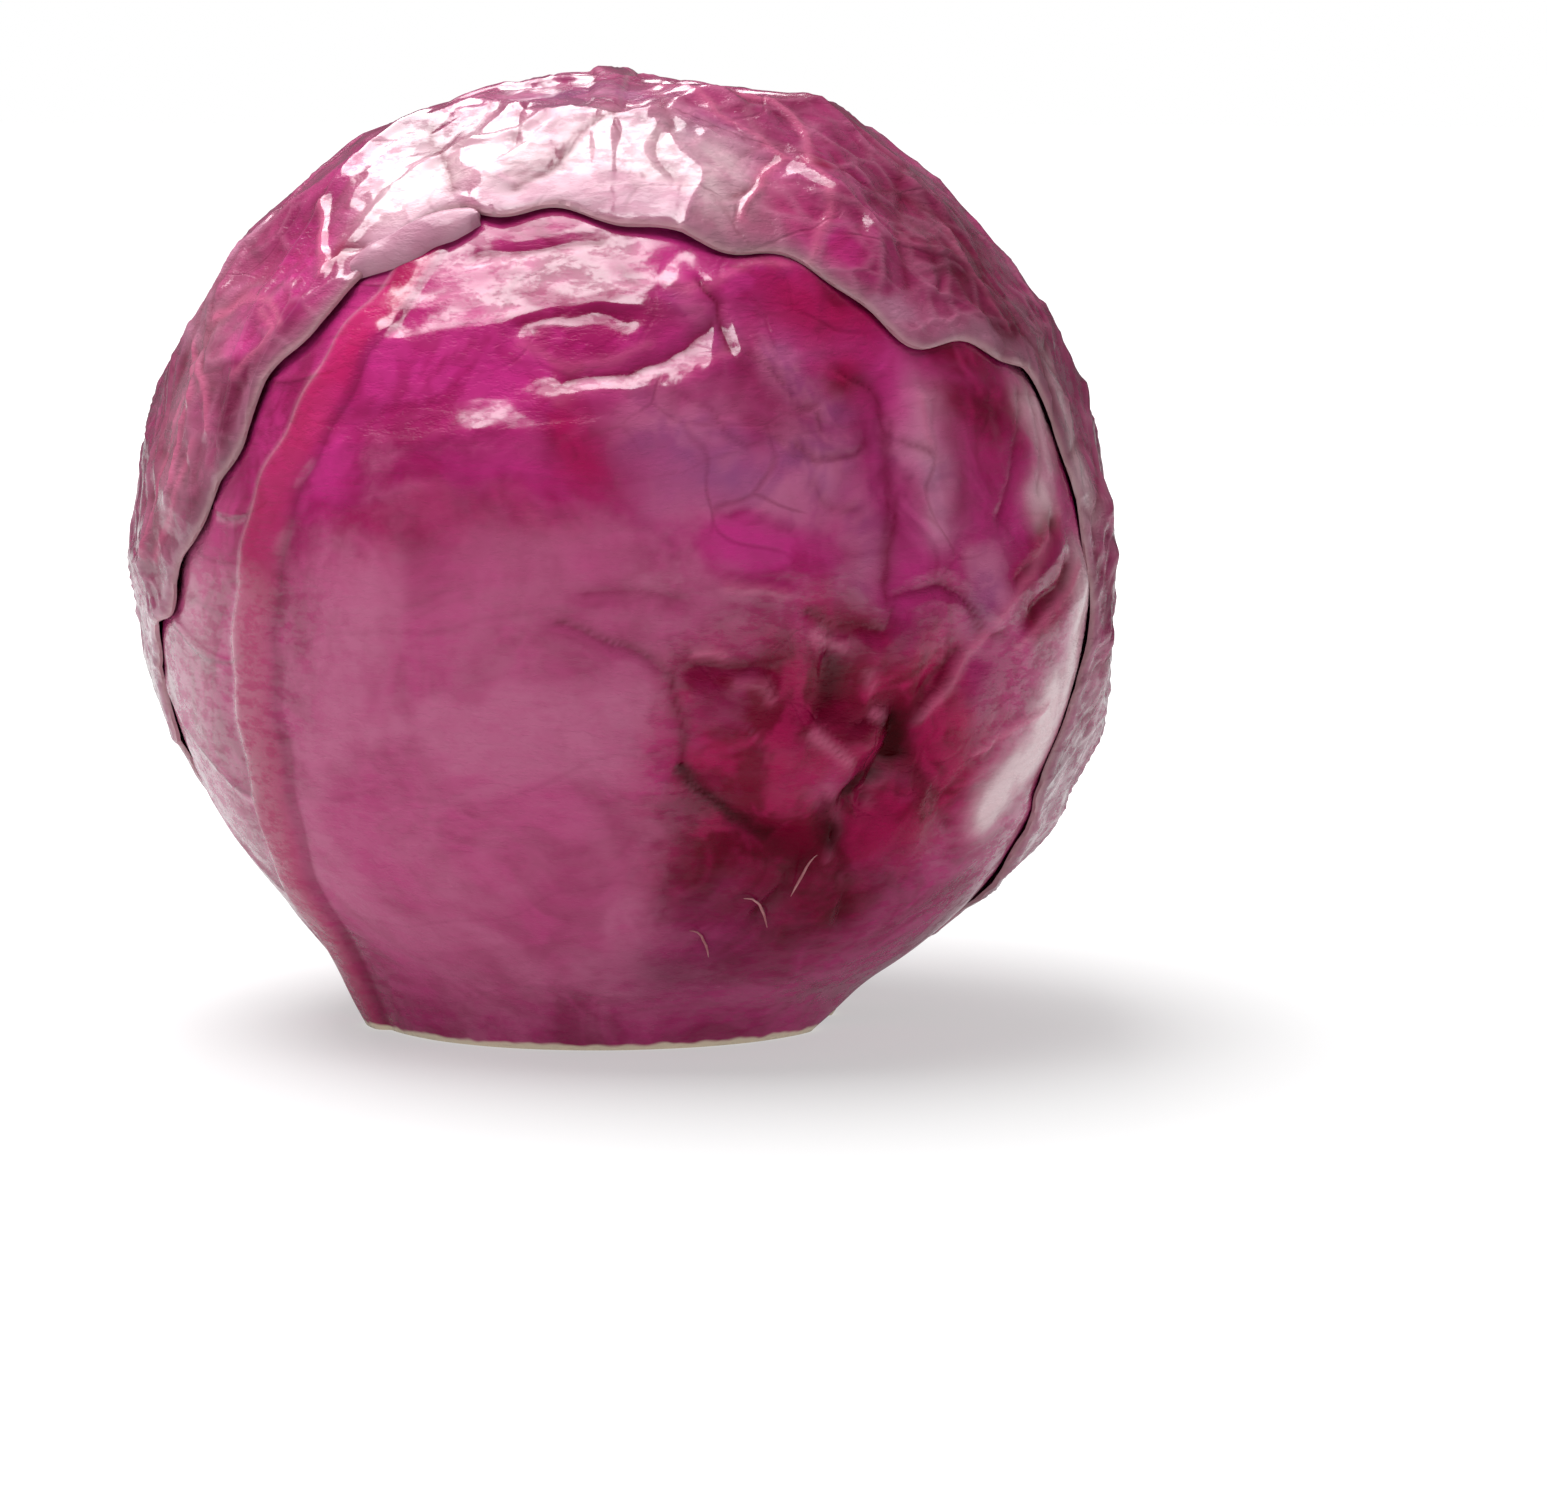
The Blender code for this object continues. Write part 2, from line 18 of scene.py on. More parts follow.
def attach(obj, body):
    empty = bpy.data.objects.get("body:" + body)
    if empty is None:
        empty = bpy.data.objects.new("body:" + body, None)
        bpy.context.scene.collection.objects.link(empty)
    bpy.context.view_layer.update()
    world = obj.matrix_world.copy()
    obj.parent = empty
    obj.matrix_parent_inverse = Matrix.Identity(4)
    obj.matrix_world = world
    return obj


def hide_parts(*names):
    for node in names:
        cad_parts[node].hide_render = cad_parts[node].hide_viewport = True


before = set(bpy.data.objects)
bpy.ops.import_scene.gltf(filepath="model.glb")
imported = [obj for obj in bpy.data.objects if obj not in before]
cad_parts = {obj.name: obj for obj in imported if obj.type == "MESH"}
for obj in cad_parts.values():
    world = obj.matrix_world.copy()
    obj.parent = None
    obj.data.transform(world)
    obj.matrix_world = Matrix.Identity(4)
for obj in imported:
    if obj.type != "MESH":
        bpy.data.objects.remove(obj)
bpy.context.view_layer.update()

MM = 0.001
LEAST = 1e-9
GOLDEN_ANGLE = 137.5

# The photograph's frame, in pixels, with the middle of the head and the focal length in it
PHOTO_SIZE = (1547, 1485)
HEAD_PIXEL = (629, 560)
FOCAL_PIXELS = 6067
SENSOR = 36.0
CAMERA_HEIGHT = 5.5
CAMERA_REACH = 1.0
CAMERA_CLIP = (0.05, 50.0)

# Seeds of the random patterns
SEED = 7
SMALL_FACET_SEED = 10
NET_BREAK_SEED = 12
CELL_SEED = 16
LARGE_PUFF_SEED = 18
SMALL_PUFF_SEED = 20
PUFF_BREAK_SEED = 22
PUCKER_SEED = 24
HEART_LEAF_SEED = 27
ROUGH_SEED = 30
STREAK_SEED = 32
STREAK_BREAK_SEED = 34
FINISH_SEED = 38
HEART_SEED = 47
LIP_SEED = 48

# The ball of the head and its gentle lumps
BALL_RADIUS = 79.7 * MM
BALL_HEIGHT = 75.7 * MM
LUMP = 0.7 * MM
LUMP_PITCH = 190 * MM
LUMP_WAVES = 9
WAVE_SPREAD = (0.75, 1.25)

# Broad swells and dents of the whole head: turn, height, rise and width
SWELLS = (
    (85, 27, -2.9 * MM, 34 * MM),
    (60, 88, -1.6 * MM, 28 * MM),
    (-90, 43, 1.6 * MM, 30 * MM),
    (-90, 10, 0.7 * MM, 18 * MM),
)

# The foot, where the ribs run down to the knife cut
FOOT_RADIUS = 36.5 * MM
FOOT_OVAL = 2.5 * MM
FOOT_SKEW = 4.0 * MM
FOOT_SKEW_TURN = -70.0
FOOT_SLOPE = 0.634
FOOT_TOP = -28.0
FOOT_BLEND = 2.5 * MM
FOOT_NARROWEST = 0.2

# Leaf blades, and how they thicken towards the stem
BLADE = 1.2 * MM
BASE_FULL = 2.5 * MM
BASE_RISE = 10.0 * MM
BASE_SIDES = (0.05, 0.45)
LEVEL_TURN = (0.72, 0.9)
INNER_STEP = 3
SHARP_ANGLE = 60.0

# Where one leaf lies under another: how deep it lies, over what stretch, and what it keeps of its ribs
UNDER_DEPTH = 1.7 * MM
UNDER_EDGE = (-2.5 * MM, 6.5 * MM)
UNDER_RELIEF = 0.1

# A leaf's outline: how far its corners are softened and its ripples, in degrees
OUTLINE_SOFTNESS = 2.2
OUTLINE_REACH = 12
RIPPLES = (13, 29)
RIPPLE = 0.6
EDGE_ROUND = 0.65 * MM
EDGE_REACH = 2.0 * MM
LIFT_REACH = 9.0 * MM

# How the veins leave the midrib, and how it and they thin out
SWEEP = 0.25
SWEEP_CURVE = 1.3
STAGGER = 0.09
SIDE_SWITCH = 9
VEIN_ENDS = (-0.76, 0.8)
VEIN_HALF_WIDTH = 1.26 * MM
VEIN_OUTWARDS = 0.8
VEIN_TIPWARDS = (1.1, 0.5)
RIB_TAPER = (1.1, 0.35)
RIB_FOOT = 1.2
RIB_FALL = 0.8
RIB_ROUND = 4
RIB_BELLY = 0.3

# Folds and swells of a blade
FOLD_FOOT = 1.8
FOLD_CURVE = 1.4
SWELL_PITCH = 48 * MM
SWELL_WAVES = 14

# How far folds and finishes wander from their lines: pitch and reach of each step
FOLD_WANDER = ((9 * MM, 1.6 * MM), (3.5 * MM, 0.5 * MM))
FINISH_WANDER = ((10 * MM, 3.0 * MM), (3 * MM, 1.0 * MM))

# Flat facets of two sizes. They are softer near the leaf's edge and at the back of the head.
FACET_PITCH = 27.0 * MM
SMALL_FACET_PITCH = FACET_PITCH / 2.3
FACET_LEAN = 0.07
FACET_MARGIN = 14 * MM
EDGE_FACETS = 0.35
LARGE_FACET_TONE = 0.35
BACK_START = (0.1, 0.75)
BACK_LOSS = 0.5

# The net of fine ridges: half its lines' widths, and where it is broken
LARGE_NET_WIDTH = 0.7 * MM
SMALL_NET_WIDTH = 0.5 * MM
SMALL_NET = 0.6
NET_BREAK_PITCH = 16 * MM
NET_BREAK = (-0.2, 0.25)
CELL_PITCH = 8 * MM
CELL_WIDTH = 0.45 * MM
CELL_BREAK_PITCH = 2.2
CELL_BREAK = (-0.25, 0.15)
WRINKLE_CELLS = 0.5

# Puffed cells of two sizes, with sharp creases between them
LARGE_PUFF_PITCH = 17 * MM
SMALL_PUFF_PITCH = 8 * MM
LARGE_CREASE = 1.5 * MM
SMALL_CREASE = 0.8 * MM
SMALL_PUFF = 0.6
PUFF_BREAK_PITCH = 14 * MM
PUFF_BREAK = (-0.35, 0.1)
CREASE_POWER = 1.5

# Puckers, roughness and level streaks of the skin
PUCKER_PITCH = 4.5 * MM
PUCKER_DEPTH = 0.3 * MM
PUCKER_SIZES = 3
PUCKER_MIDDLE = 0.4
ROUGH_PITCH = 7 * MM
ROUGH_DEPTH = 0.12 * MM
STREAK_PITCH = 2.4 * MM
STREAK_DEPTH = 0.3 * MM
STREAK_STRETCH = 0.3
STREAK_BREAK_PITCH = 9 * MM
STREAK_BREAK = (-0.05, 0.3)

# Finishes along creases, crests, edges and ribs. The creases carry painted shade, and the midrib's two sides
# a painted highlight and a painted shade.
CREASE_WIDTH = 0.9 * MM
EDGE_WIDTH = 0.7 * MM
MARGIN_WIDTH = 3.2 * MM
RIB_SIDE = (0.8, 0.95)
RIB_BORDER = 0.14
RIB_LIT_PLACE = -0.85
RIB_SHADE_PLACE = 0.98
RIB_BORDER_TOP = (0.1, 0.5)
RIB_TOP = (-0.1, 0.75)
FACETED_RIB_FADE = (-0.4, 0.3)

# The stem and its core, as (radius, height) points in millimetres, and its rings of bundles
STEM_PROFILE = ((26.0, 0.0), (25.4, 5.0), (21.0, 11.0), (17.0, 24.0), (13.0, 40.0), (7.0, 53.0), (2.0, 58.0))
STEM_RADIUS = 26.0 * MM
STEM_HEIGHT = 58.0 * MM
SEAM = 0.8 * MM
STEM_SIDES = 96
STEM_ROWS = 40
STEM_FACE_ROWS = 10
STEM_ROUGHNESS = 0.015
STEM_ROUGH_NOISE = (9.0, 3.0, 0.5)
BUNDLE_RINGS = 5
RING_BUNDLES = 34.0
BUNDLE_RISE = 0.12 * MM
BUNDLE_RADIUS = 0.55 * MM
BUNDLE_SPREAD = 0.02
FIRST_RING = 1.3

# The heart of closed inner leaves
HEART_RINGS = 100
HEART_SIDES = 180
HEART_DEPTH = 7.6 * MM
HEART_STEP = 0.9 * MM
HEART_LEAVES = 7
HEART_TILT = (12, 5)
HEART_EDGE = (52, 56)
HEART_WAVER = 4
HEART_WAVE = 90 * MM
HEART_WAVES = 6
HEART_FLOOR = 17.0 * MM
HEART_ROUGH = 0.15 * MM
HEART_ROUGH_PITCH = 14 * MM
HEART_ROUGH_WAVES = 12
SOCKET_GAP = 0.3 * MM
SLOPE_LEAST = 0.1

# The rolled lip of the hood's split edge: its line of places, and its widths and rises in millimetres
LIP_LINE = (
    (-43.5, 38.5), (-40.0, 40.2), (-36.0, 42.2), (-32.5, 44.0), (-29.0, 45.4), (-26.0, 46.2), (-24.6, 46.4),
)
LIP_WIDTHS = (3.0, 5.6, 7.4, 6.4, 6.6, 4.4, 1.2)
LIP_RISES = (0.1, 0.6, 0.4, 0.9, 0.7, 0.8, 0.4)
LIP_ROWS = 90
LIP_SIDES = 28
LIP_SOFTNESS = 4
LIP_BULGE = 1.3 * MM
LIP_BACK = 0.1
LIP_TUCK = 0.9 * MM
LIP_ROUGH = 0.4 * MM
LIP_ROUGH_PITCH = 5 * MM
LIP_FINISH = {"bloom": 0.9, "pale": 0.3, "tone": 0.6, "margin": 0.5, "along": 0.3}

# Loose pale strands on the front leaf near the foot: turn, height, lean and length in degrees
STRANDS = ((16, -36, 5, 5), (9, -41, 4, 5), (25, -30, -2, 6))
STRAND_POINTS = 5
STRAND_ARCH = 1.5
STRAND_RISE = 0.9 * MM
STRAND_RADIUS = 0.22 * MM
STRAND_WAVER = 0.3 * MM
STRAND_SIDES = 8
STRAND_ROWS = 14
STRAND_END = 0.25
STRAND_BENDS = 260.0


@dataclass
class Fold:
    """A fold of a blade along a line of places (turn, height) on the head. It rises by its height, or
    sinks where that is negative, and falls away over one width above the line and another below. Its
    crest may be pale."""

    path: tuple
    height: float
    above: float
    below: float
    pale: float


def fold(height, above, below, *path, pale=0):
    """A fold with its height and widths in millimetres."""
    return Fold(path, height * MM, above * MM, below * MM, pale)


def patch(radius, strength, *path):
    """A soft patch of a finish along a line of places, with its radius in degrees."""
    return radius, strength, path


@dataclass
class Leaf:
    """One wrapper leaf. Its places and angles are in degrees, its widths, depths and reliefs in metres."""

    name: str
    slot: str
    turn: float
    height: float
    outline: tuple
    depth: float
    lines: tuple
    half_spans: tuple
    rib_width: float
    rib_height: float
    under: tuple = ()
    rib_path: tuple = (0.0, 0.0, 0.0)
    veins: int = 8
    vein_height: float = 1.4 * MM
    vein_sides: tuple = (1.0, 1.0)
    swell: float = 0.0
    lift: float = 0.0
    faceted: bool = False
    net_height: float = 0.25 * MM
    netted: float = 0.5
    folds: tuple = ()
    crumples: tuple = ()
    crumple_depth: float = 1.2 * MM
    wrinkles: tuple = ()
    streaks: tuple = ()
    patches: dict = None


# The pleats of the front leaf's upper part, the folds round its hollow at the lower right, and the
# pleats on its right edge
FRONT_FOLDS = (
    fold(1.5, 7, 9, (-34, 29), (-22, 31), (-12, 32.5), (1, 34)),
    fold(1.4, 4.5, 10, (-35, 17), (-23, 18), (-14, 19), (-5, 20)),
    fold(1.3, 5, 9, (-9, 23), (1, 24), (6, 24.5), (11, 28), (20, 27)),
    fold(1, 4, 6, (5, 36), (13, 38), (24, 40)),
    fold(-0.9, 4, 4, (32, 22), (32, 10), (30, 2)),
    fold(-3.6, 5, 5, (33, -13), (34, -17), (31, -24)),
    fold(-2.2, 4.5, 4.5, (34, -16), (37, -10), (42, -6)),
    fold(-2.6, 4.5, 4.5, (23, -3), (24, -11)),
    fold(-1.6, 4, 4, (8, -6.5), (16, -6.5)),
    fold(-2.8, 5, 5, (8, -20), (14, -25), (21, -30)),
    fold(-2.2, 4.5, 4.5, (27, -26), (31, -35)),
    fold(-1.6, 5, 5, (37, -20), (48, -29)),
    fold(1.3, 4, 4, (21, -13), (27, -19)),
    fold(1.2, 4, 4, (46, -2), (58, 4)),
    fold(1.2, 4, 4, (53, -6), (66, 0)),
)
FRONT_CREASES = (
    # The hollow and the star of creases round it
    fold(-4.5, 1.6, 1.8, (33, -13.5), (33.5, -16), (34, -18)),
    fold(-2.8, 1.6, 1.6, (34, -18), (31, -20.5), (27.5, -22.5), (27, -27), (28, -30)),
    fold(-2.4, 1.8, 1.4, (23, -4), (24, -8), (24, -10), (22.5, -12.5)),
    fold(-1.4, 1.2, 1.4, (22.5, -12.5), (28, -14), (31, -14)),
    fold(-1.7, 1.2, 1.2, (34, -14), (38, -11), (39.5, -9), (40.5, -6.5)),
    fold(-0.8, 1, 1, (31, 1), (38, 2), (41, 1), (43, -2), (44, -4), (47, -4)),
    fold(-1.3, 1.6, 1.6, (20, 0), (24, -2), (29, -3)),
    fold(-0.7, 0.9, 0.9, (51, -17), (50, -19), (46, -19.5)),
    fold(-1, 1.2, 1, (53, -3), (59, -0.3), (62, 2)),
    fold(-0.8, 1.2, 1.2, (59.5, 7.5), (54, 3), (50, 1.5)),
    fold(-1.4, 1.4, 1.4, (27, -29), (22, -33), (19, -40)),
    fold(-1.2, 1.4, 1.4, (28, -30), (33, -36), (35, -42)),
    # The puffed cells between them
    fold(1.3, 4.5, 4.5, (32, -6.5)),
    fold(1.6, 3.4, 3.4, (28, -17)),
    fold(1.9, 5, 5, (39, -24)),
    fold(1.7, 4, 4, (20, -17)),
    fold(0.7, 4, 4, (44, -13)),
    fold(1.4, 3.4, 3.4, (21, -24)),
    # Sharp pale ridges beside the creases
    fold(0.8, 1, 1, (36.5, -14), (40.5, -10), (43, -6), (44.5, -4), pale=0.7),
    fold(0.7, 0.8, 1, (21, -2.5), (22.5, -3.5), (25, -4.5), pale=0.8),
    fold(0.9, 0.9, 1.2, (22, -14.5), (24, -16.5), (27, -18.5), pale=0.8),
    fold(0.8, 1, 1, (30, -13.2), (31.5, -13.6), pale=0.9),
    fold(0.5, 0.8, 0.8, (28, -8), (29, -10), pale=0.5),
    fold(0.5, 0.8, 1.2, (47, -18.5), (52, -16.5), (59, -14), pale=0.8),
    fold(0.8, 0.9, 1.2, (24.5, -21), (26, -24.5), (28, -29), (27.3, -32), pale=0.5),
    fold(0.7, 0.9, 0.9, (32, -25), (32, -23), (34, -21), pale=0.35),
    fold(0.9, 0.9, 1.4, (46, -2), (53, 2), (57, 6), pale=0.7),
    fold(1, 0.9, 1.6, (50, -6), (53, -5), (58, -2), (65, 2), pale=0.8),
    fold(0.4, 1, 1, (38, 23), (38.3, 18), pale=0.4),
    # Creases of the smooth middle
    fold(-0.45, 1.6, 1.2, (-5, 2), (1, 2), (6, 1.6)),
    fold(-0.7, 1.4, 1.2, (-8, -1.5), (-3, -3), (0, -4), (2.5, -5.5), (5, -8)),
    fold(-0.9, 0.9, 0.9, (7.5, -6.5), (13, -6.9), (18, -5.5)),
    fold(0.5, 0.7, 0.7, (7.5, -5.6), (10.5, -5.6), pale=0.7),
    fold(0.6, 0.9, 1.2, (12, -8.3), (16, -8.6), (17, -10.5), pale=0.5),
    fold(-2.4, 1.6, 1.4, (5.5, -18.5), (9, -21), (13, -25), (20.5, -30)),
    fold(-0.9, 1.4, 1.8, (4.5, -7), (5, -12), (6, -18.5)),
    fold(0.4, 0.7, 0.9, (11, 3), (18, 2), pale=0.6),
    fold(0.25, 1.6, 2.6, (-40, -16), (-30, -10), (-16, -9), (-2, -14), (3, -26)),
    # Lips and dimples of the pleats
    fold(-0.6, 1, 1.6, (-14, 32), (-9, 33), (-4, 33), (0, 32)),
    fold(0.7, 1.2, 1, (-14, 29.5), (-10, 28), (-7, 26.7), (-2, 27.2), (2.5, 29.5), pale=0.4),
    fold(-0.8, 1.2, 1.2, (-7, 25.6), (0, 26), (7, 29), (11, 32.5)),
    fold(0.9, 1.2, 1, (-8, 23), (-4, 24), (1, 25), (5, 26), (9, 28), (12, 29), pale=0.3),
    fold(0.7, 0.9, 0.9, (5, 36), (7, 35.7), (9, 37), pale=0.5),
    fold(0.9, 1.2, 0.9, (11, 37), (14, 38.3), (19, 40), (23, 40.3), pale=0.5),
    fold(-0.7, 1.5, 1.5, (-24, 41), (-14, 43), (-5, 44)),
    fold(0.5, 1, 2, (-34, 28), (-24, 30), (-15, 31.5)),
    fold(0.6, 0.9, 3, (-36, 16.5), (-27, 17.2), (-14, 17.6), (-6, 18.4)),
    # Creases of the upper right
    fold(-0.9, 1.1, 1.1, (10, 37.5), (12, 35), (12.3, 32), (12.5, 29)),
    fold(-0.35, 0.9, 0.9, (7, 24), (10, 22), (12, 19), (14, 18)),
    fold(-0.35, 0.9, 0.9, (17, 19), (19, 17), (22, 16)),
    fold(-0.45, 0.9, 0.9, (15, 28), (18, 27), (19, 25), (20, 22), (23, 22)),
    fold(-0.5, 0.9, 0.9, (20, 22), (23, 21), (23.4, 19)),
    fold(-0.6, 0.9, 0.9, (19, 18), (22, 16), (28, 17), (29.5, 18.5)),
    fold(-0.4, 0.9, 0.9, (21, 14), (24, 11), (27, 10)),
    fold(-0.7, 1, 1.4, (27, 26), (32, 24), (33, 20), (31, 11), (30, 1), (31, -2)),
    fold(-0.5, 0.9, 0.9, (34, 18), (36, 17), (38, 17)),
    fold(-0.5, 0.9, 0.9, (59, 23), (56, 18), (52, 14), (49, 11), (47, 8)),
    fold(-0.4, 0.8, 0.8, (62, 22), (61, 16), (57, 11)),
)

# The creases that part the hood leaf's flat facets
HOOD_FOLDS = (
    fold(-0.9, 4, 4, (-20, 52), (-14, 56), (-7, 63), (3, 68)),
    fold(-0.8, 4, 4, (-58, 62), (-42, 56), (-33, 51)),
    fold(0.9, 4, 4, (34, 71), (38, 65), (39, 55), (38, 50)),
    fold(-0.8, 4, 4, (34, 58), (25, 53), (18, 50)),
    fold(-0.8, 4, 4, (59, 50), (47, 43), (42, 37)),
    fold(0.9, 4, 4, (-70, 33), (-60, 34), (-52, 32)),
    fold(0.9, 4, 4, (-87, 14), (-72, 12), (-64, 10)),
)
HOOD_CREASES = (
    # Pale ridges round the magenta cells on the left
    fold(0.7, 0.9, 1.3, (-68, 30), (-64, 33), (-57, 33.5), (-51, 30), pale=0.9),
    fold(0.6, 0.9, 1.2, (-58, 32), (-53, 30), (-53, 27), (-56, 24), pale=0.8),
    fold(0.7, 0.9, 1.3, (-61, 47), (-56, 43), (-50, 40), (-48, 37), pale=0.9),
    fold(-0.6, 0.8, 0.8, (-49.5, 39.5), (-47.5, 41), (-45, 42)),
    fold(-0.5, 0.9, 0.9, (-71, 32), (-67, 27), (-72, 25)),
    fold(0.6, 0.9, 1.2, (-74, 26), (-67, 23), (-65, 20), (-67, 17), (-65, 12), pale=0.9),
    fold(0.5, 0.9, 1.2, (-67, 25), (-61, 21), (-59, 18), pale=0.8),
    fold(0.5, 0.8, 1, (-71, 20), (-70, 12), (-71, 3), pale=0.8),
    fold(0.4, 0.8, 1, (-62, 16), (-64, 9), (-68, 3), pale=0.7),
    # The panels at the top and their dented borders
    fold(-0.5, 0.9, 0.9, (-25, 58), (-30, 67)),
    fold(-0.6, 1.2, 1.2, (-20, 54), (-16, 56), (-12, 60), (-7, 64)),
    fold(-0.5, 1.2, 1.2, (12, 75), (11, 67), (9, 60), (6, 57), (8, 52)),
    fold(0.7, 0.9, 1.3, (16, 77), (26, 67), (32, 59), (34, 57), pale=0.8),
    fold(0.6, 1, 0.9, (34, 57), (25, 53), (21, 50), (18, 46), pale=0.8),
    fold(0.6, 0.8, 1.2, (40, 71), (52, 69), (46, 61), (37, 55), pale=0.9),
    fold(0.5, 0.8, 1, (37, 55), (36, 50), (34, 46), (26, 40), pale=0.8),
    # The leathery right side
    fold(-0.5, 1, 1, (48, 57), (42, 49), (38, 44)),
    fold(-0.5, 1, 1, (55, 51), (54, 42), (49, 36)),
    fold(0.4, 0.8, 1, (62, 44), (58, 38), (60, 30), pale=0.6),
    # The margin stands off the front leaf on the left and at the top
    fold(0.6, 6, 6, (-70, -5), (-56, 8), (-52, 22), (-39, 35), (-24, 44), (0, 46), (22, 41)),
)

HOOD_OUTLINE = (
    (1, 94), (5, 93), (9, 91.5), (14, 91), (16, 90.5), (18, 88.5), (20, 86.8), (23, 87), (26, 88.5), (29, 90),
    (31, 95), (35, 97.5), (40, 98.5), (44, 99.5), (48, 101.5), (51, 104.5), (55, 107), (60, 109.5),
    (70, 109.5), (78, 110), (86, 106.5), (100, 107), (120, 108), (140, 109), (150, 110), (158, 116),
    (170, 116), (190, 116), (207, 116), (225, 119), (240, 122), (255, 124), (268, 123), (271, 118),
    (277, 112.5), (282, 108.5),
    (287, 105), (291, 102), (295, 100), (299, 95), (304, 93), (308, 94), (312, 95.5), (318, 97), (323, 100),
    (328, 102.5), (332, 100.5), (335, 98.5), (340, 97), (347, 97), (353, 95.5),
)
FRONT_OUTLINE = (
    (0, 62), (20, 64), (40, 71), (60, 81), (75, 90), (90, 94), (105, 95), (120, 92), (135, 85),
    (148, 84), (158, 80), (180, 72), (195, 76), (206, 88), (214, 92), (225, 95), (245, 98), (270, 100),
    (285, 96), (300, 88), (320, 75), (340, 65),
)
SIDE_OUTLINE = (
    (0, 54), (30, 52), (60, 46), (90, 40), (120, 36), (145, 30), (162, 27), (170, 34), (180, 52),
    (190, 34), (198, 27), (215, 30), (240, 36), (270, 40), (300, 46), (330, 52),
)

HOOD = Leaf(
    "hood_leaf", "hood_leaf", 180, 40, HOOD_OUTLINE, 0.0, (301, 271), half_spans=(155 * MM, 155 * MM),
    rib_path=(0.0, 0.03, 0.04), rib_width=6.0 * MM, rib_height=3.2 * MM, swell=0.4 * MM, lift=0.3 * MM,
    faceted=True, net_height=0.3 * MM, folds=HOOD_FOLDS + HOOD_CREASES,
    crumples=(patch(18, 0.8, (52, 60), (62, 42), (68, 15), (75, -10)), patch(14, 0.7, (-72, 30), (-70, 5))),
    crumple_depth=0.7 * MM,
    wrinkles=(
        patch(22, 0.9, (48, 60), (60, 35), (68, 5)), patch(16, 0.6, (-80, 30), (-70, 5)),
        patch(3, 1, (12, 74), (9, 60), (8, 53)), patch(3, 0.8, (-20, 54), (-8, 63)),
    ),
    streaks=(patch(12, 0.5, (-35, 56), (-8, 58), (20, 64)),),
    patches={
        "magenta": (
            patch(3.6, 1, (-58, 28)), patch(5, 0.9, (-61, 36), (-57, 42), (-53, 35)),
            patch(3, 0.6, (-62, 19)), patch(5, 0.6, (-54, 46), (-60, 51)),
            patch(4, 0.9, (27, 52), (29, 46), (35, 42)), patch(6, 0.5, (40, 48), (46, 56)),
        ),
        "cracked": (patch(60, 0.8, (-100, 30), (0, 70), (60, 30), (75, 0)),),
        "bloom": (
            patch(4, 0.9, (-20, 51), (-6, 50), (6, 50)), patch(4, 0.8, (-42, 42), (-33, 49)),
            patch(5, 0.8, (-77, 30), (-80, 38)), patch(6, 0.4, (-45, 72), (0, 74)),
            patch(3, 0.7, (35, 34), (49, 31), (66, 27)), patch(30, 0.25, (-120, 20), (-90, 10)),
        ),
        # Painted highlight on the top panels and painted sheen along the sides
        "pale": (
            patch(7, 0.95, (-42, 50), (-32, 57), (-12, 56), (2, 58), (14, 53)),
            patch(9, 0.25, (-70, 28), (-68, 10)), patch(3, 0.8, (70, 26), (70, 8)),
        ),
        "crimson": (patch(2, 0.9, (39, 55)), patch(1.5, 0.9, (-47, 41)), patch(12, 0.3, (60, 40))),
        # Painted shade on the right side and along lines on the left
        "painted_shade": (
            patch(10, 0.4, (56, 50), (62, 38), (62, 28)), patch(2.5, 0.5, (-54, 23), (-55, 12), (-59, 5)),
        ),
        "lilac": (patch(6, 0.6, (18, 62), (24, 56)), patch(6, 0.5, (-36, 73), (5, 74))),
    },
)
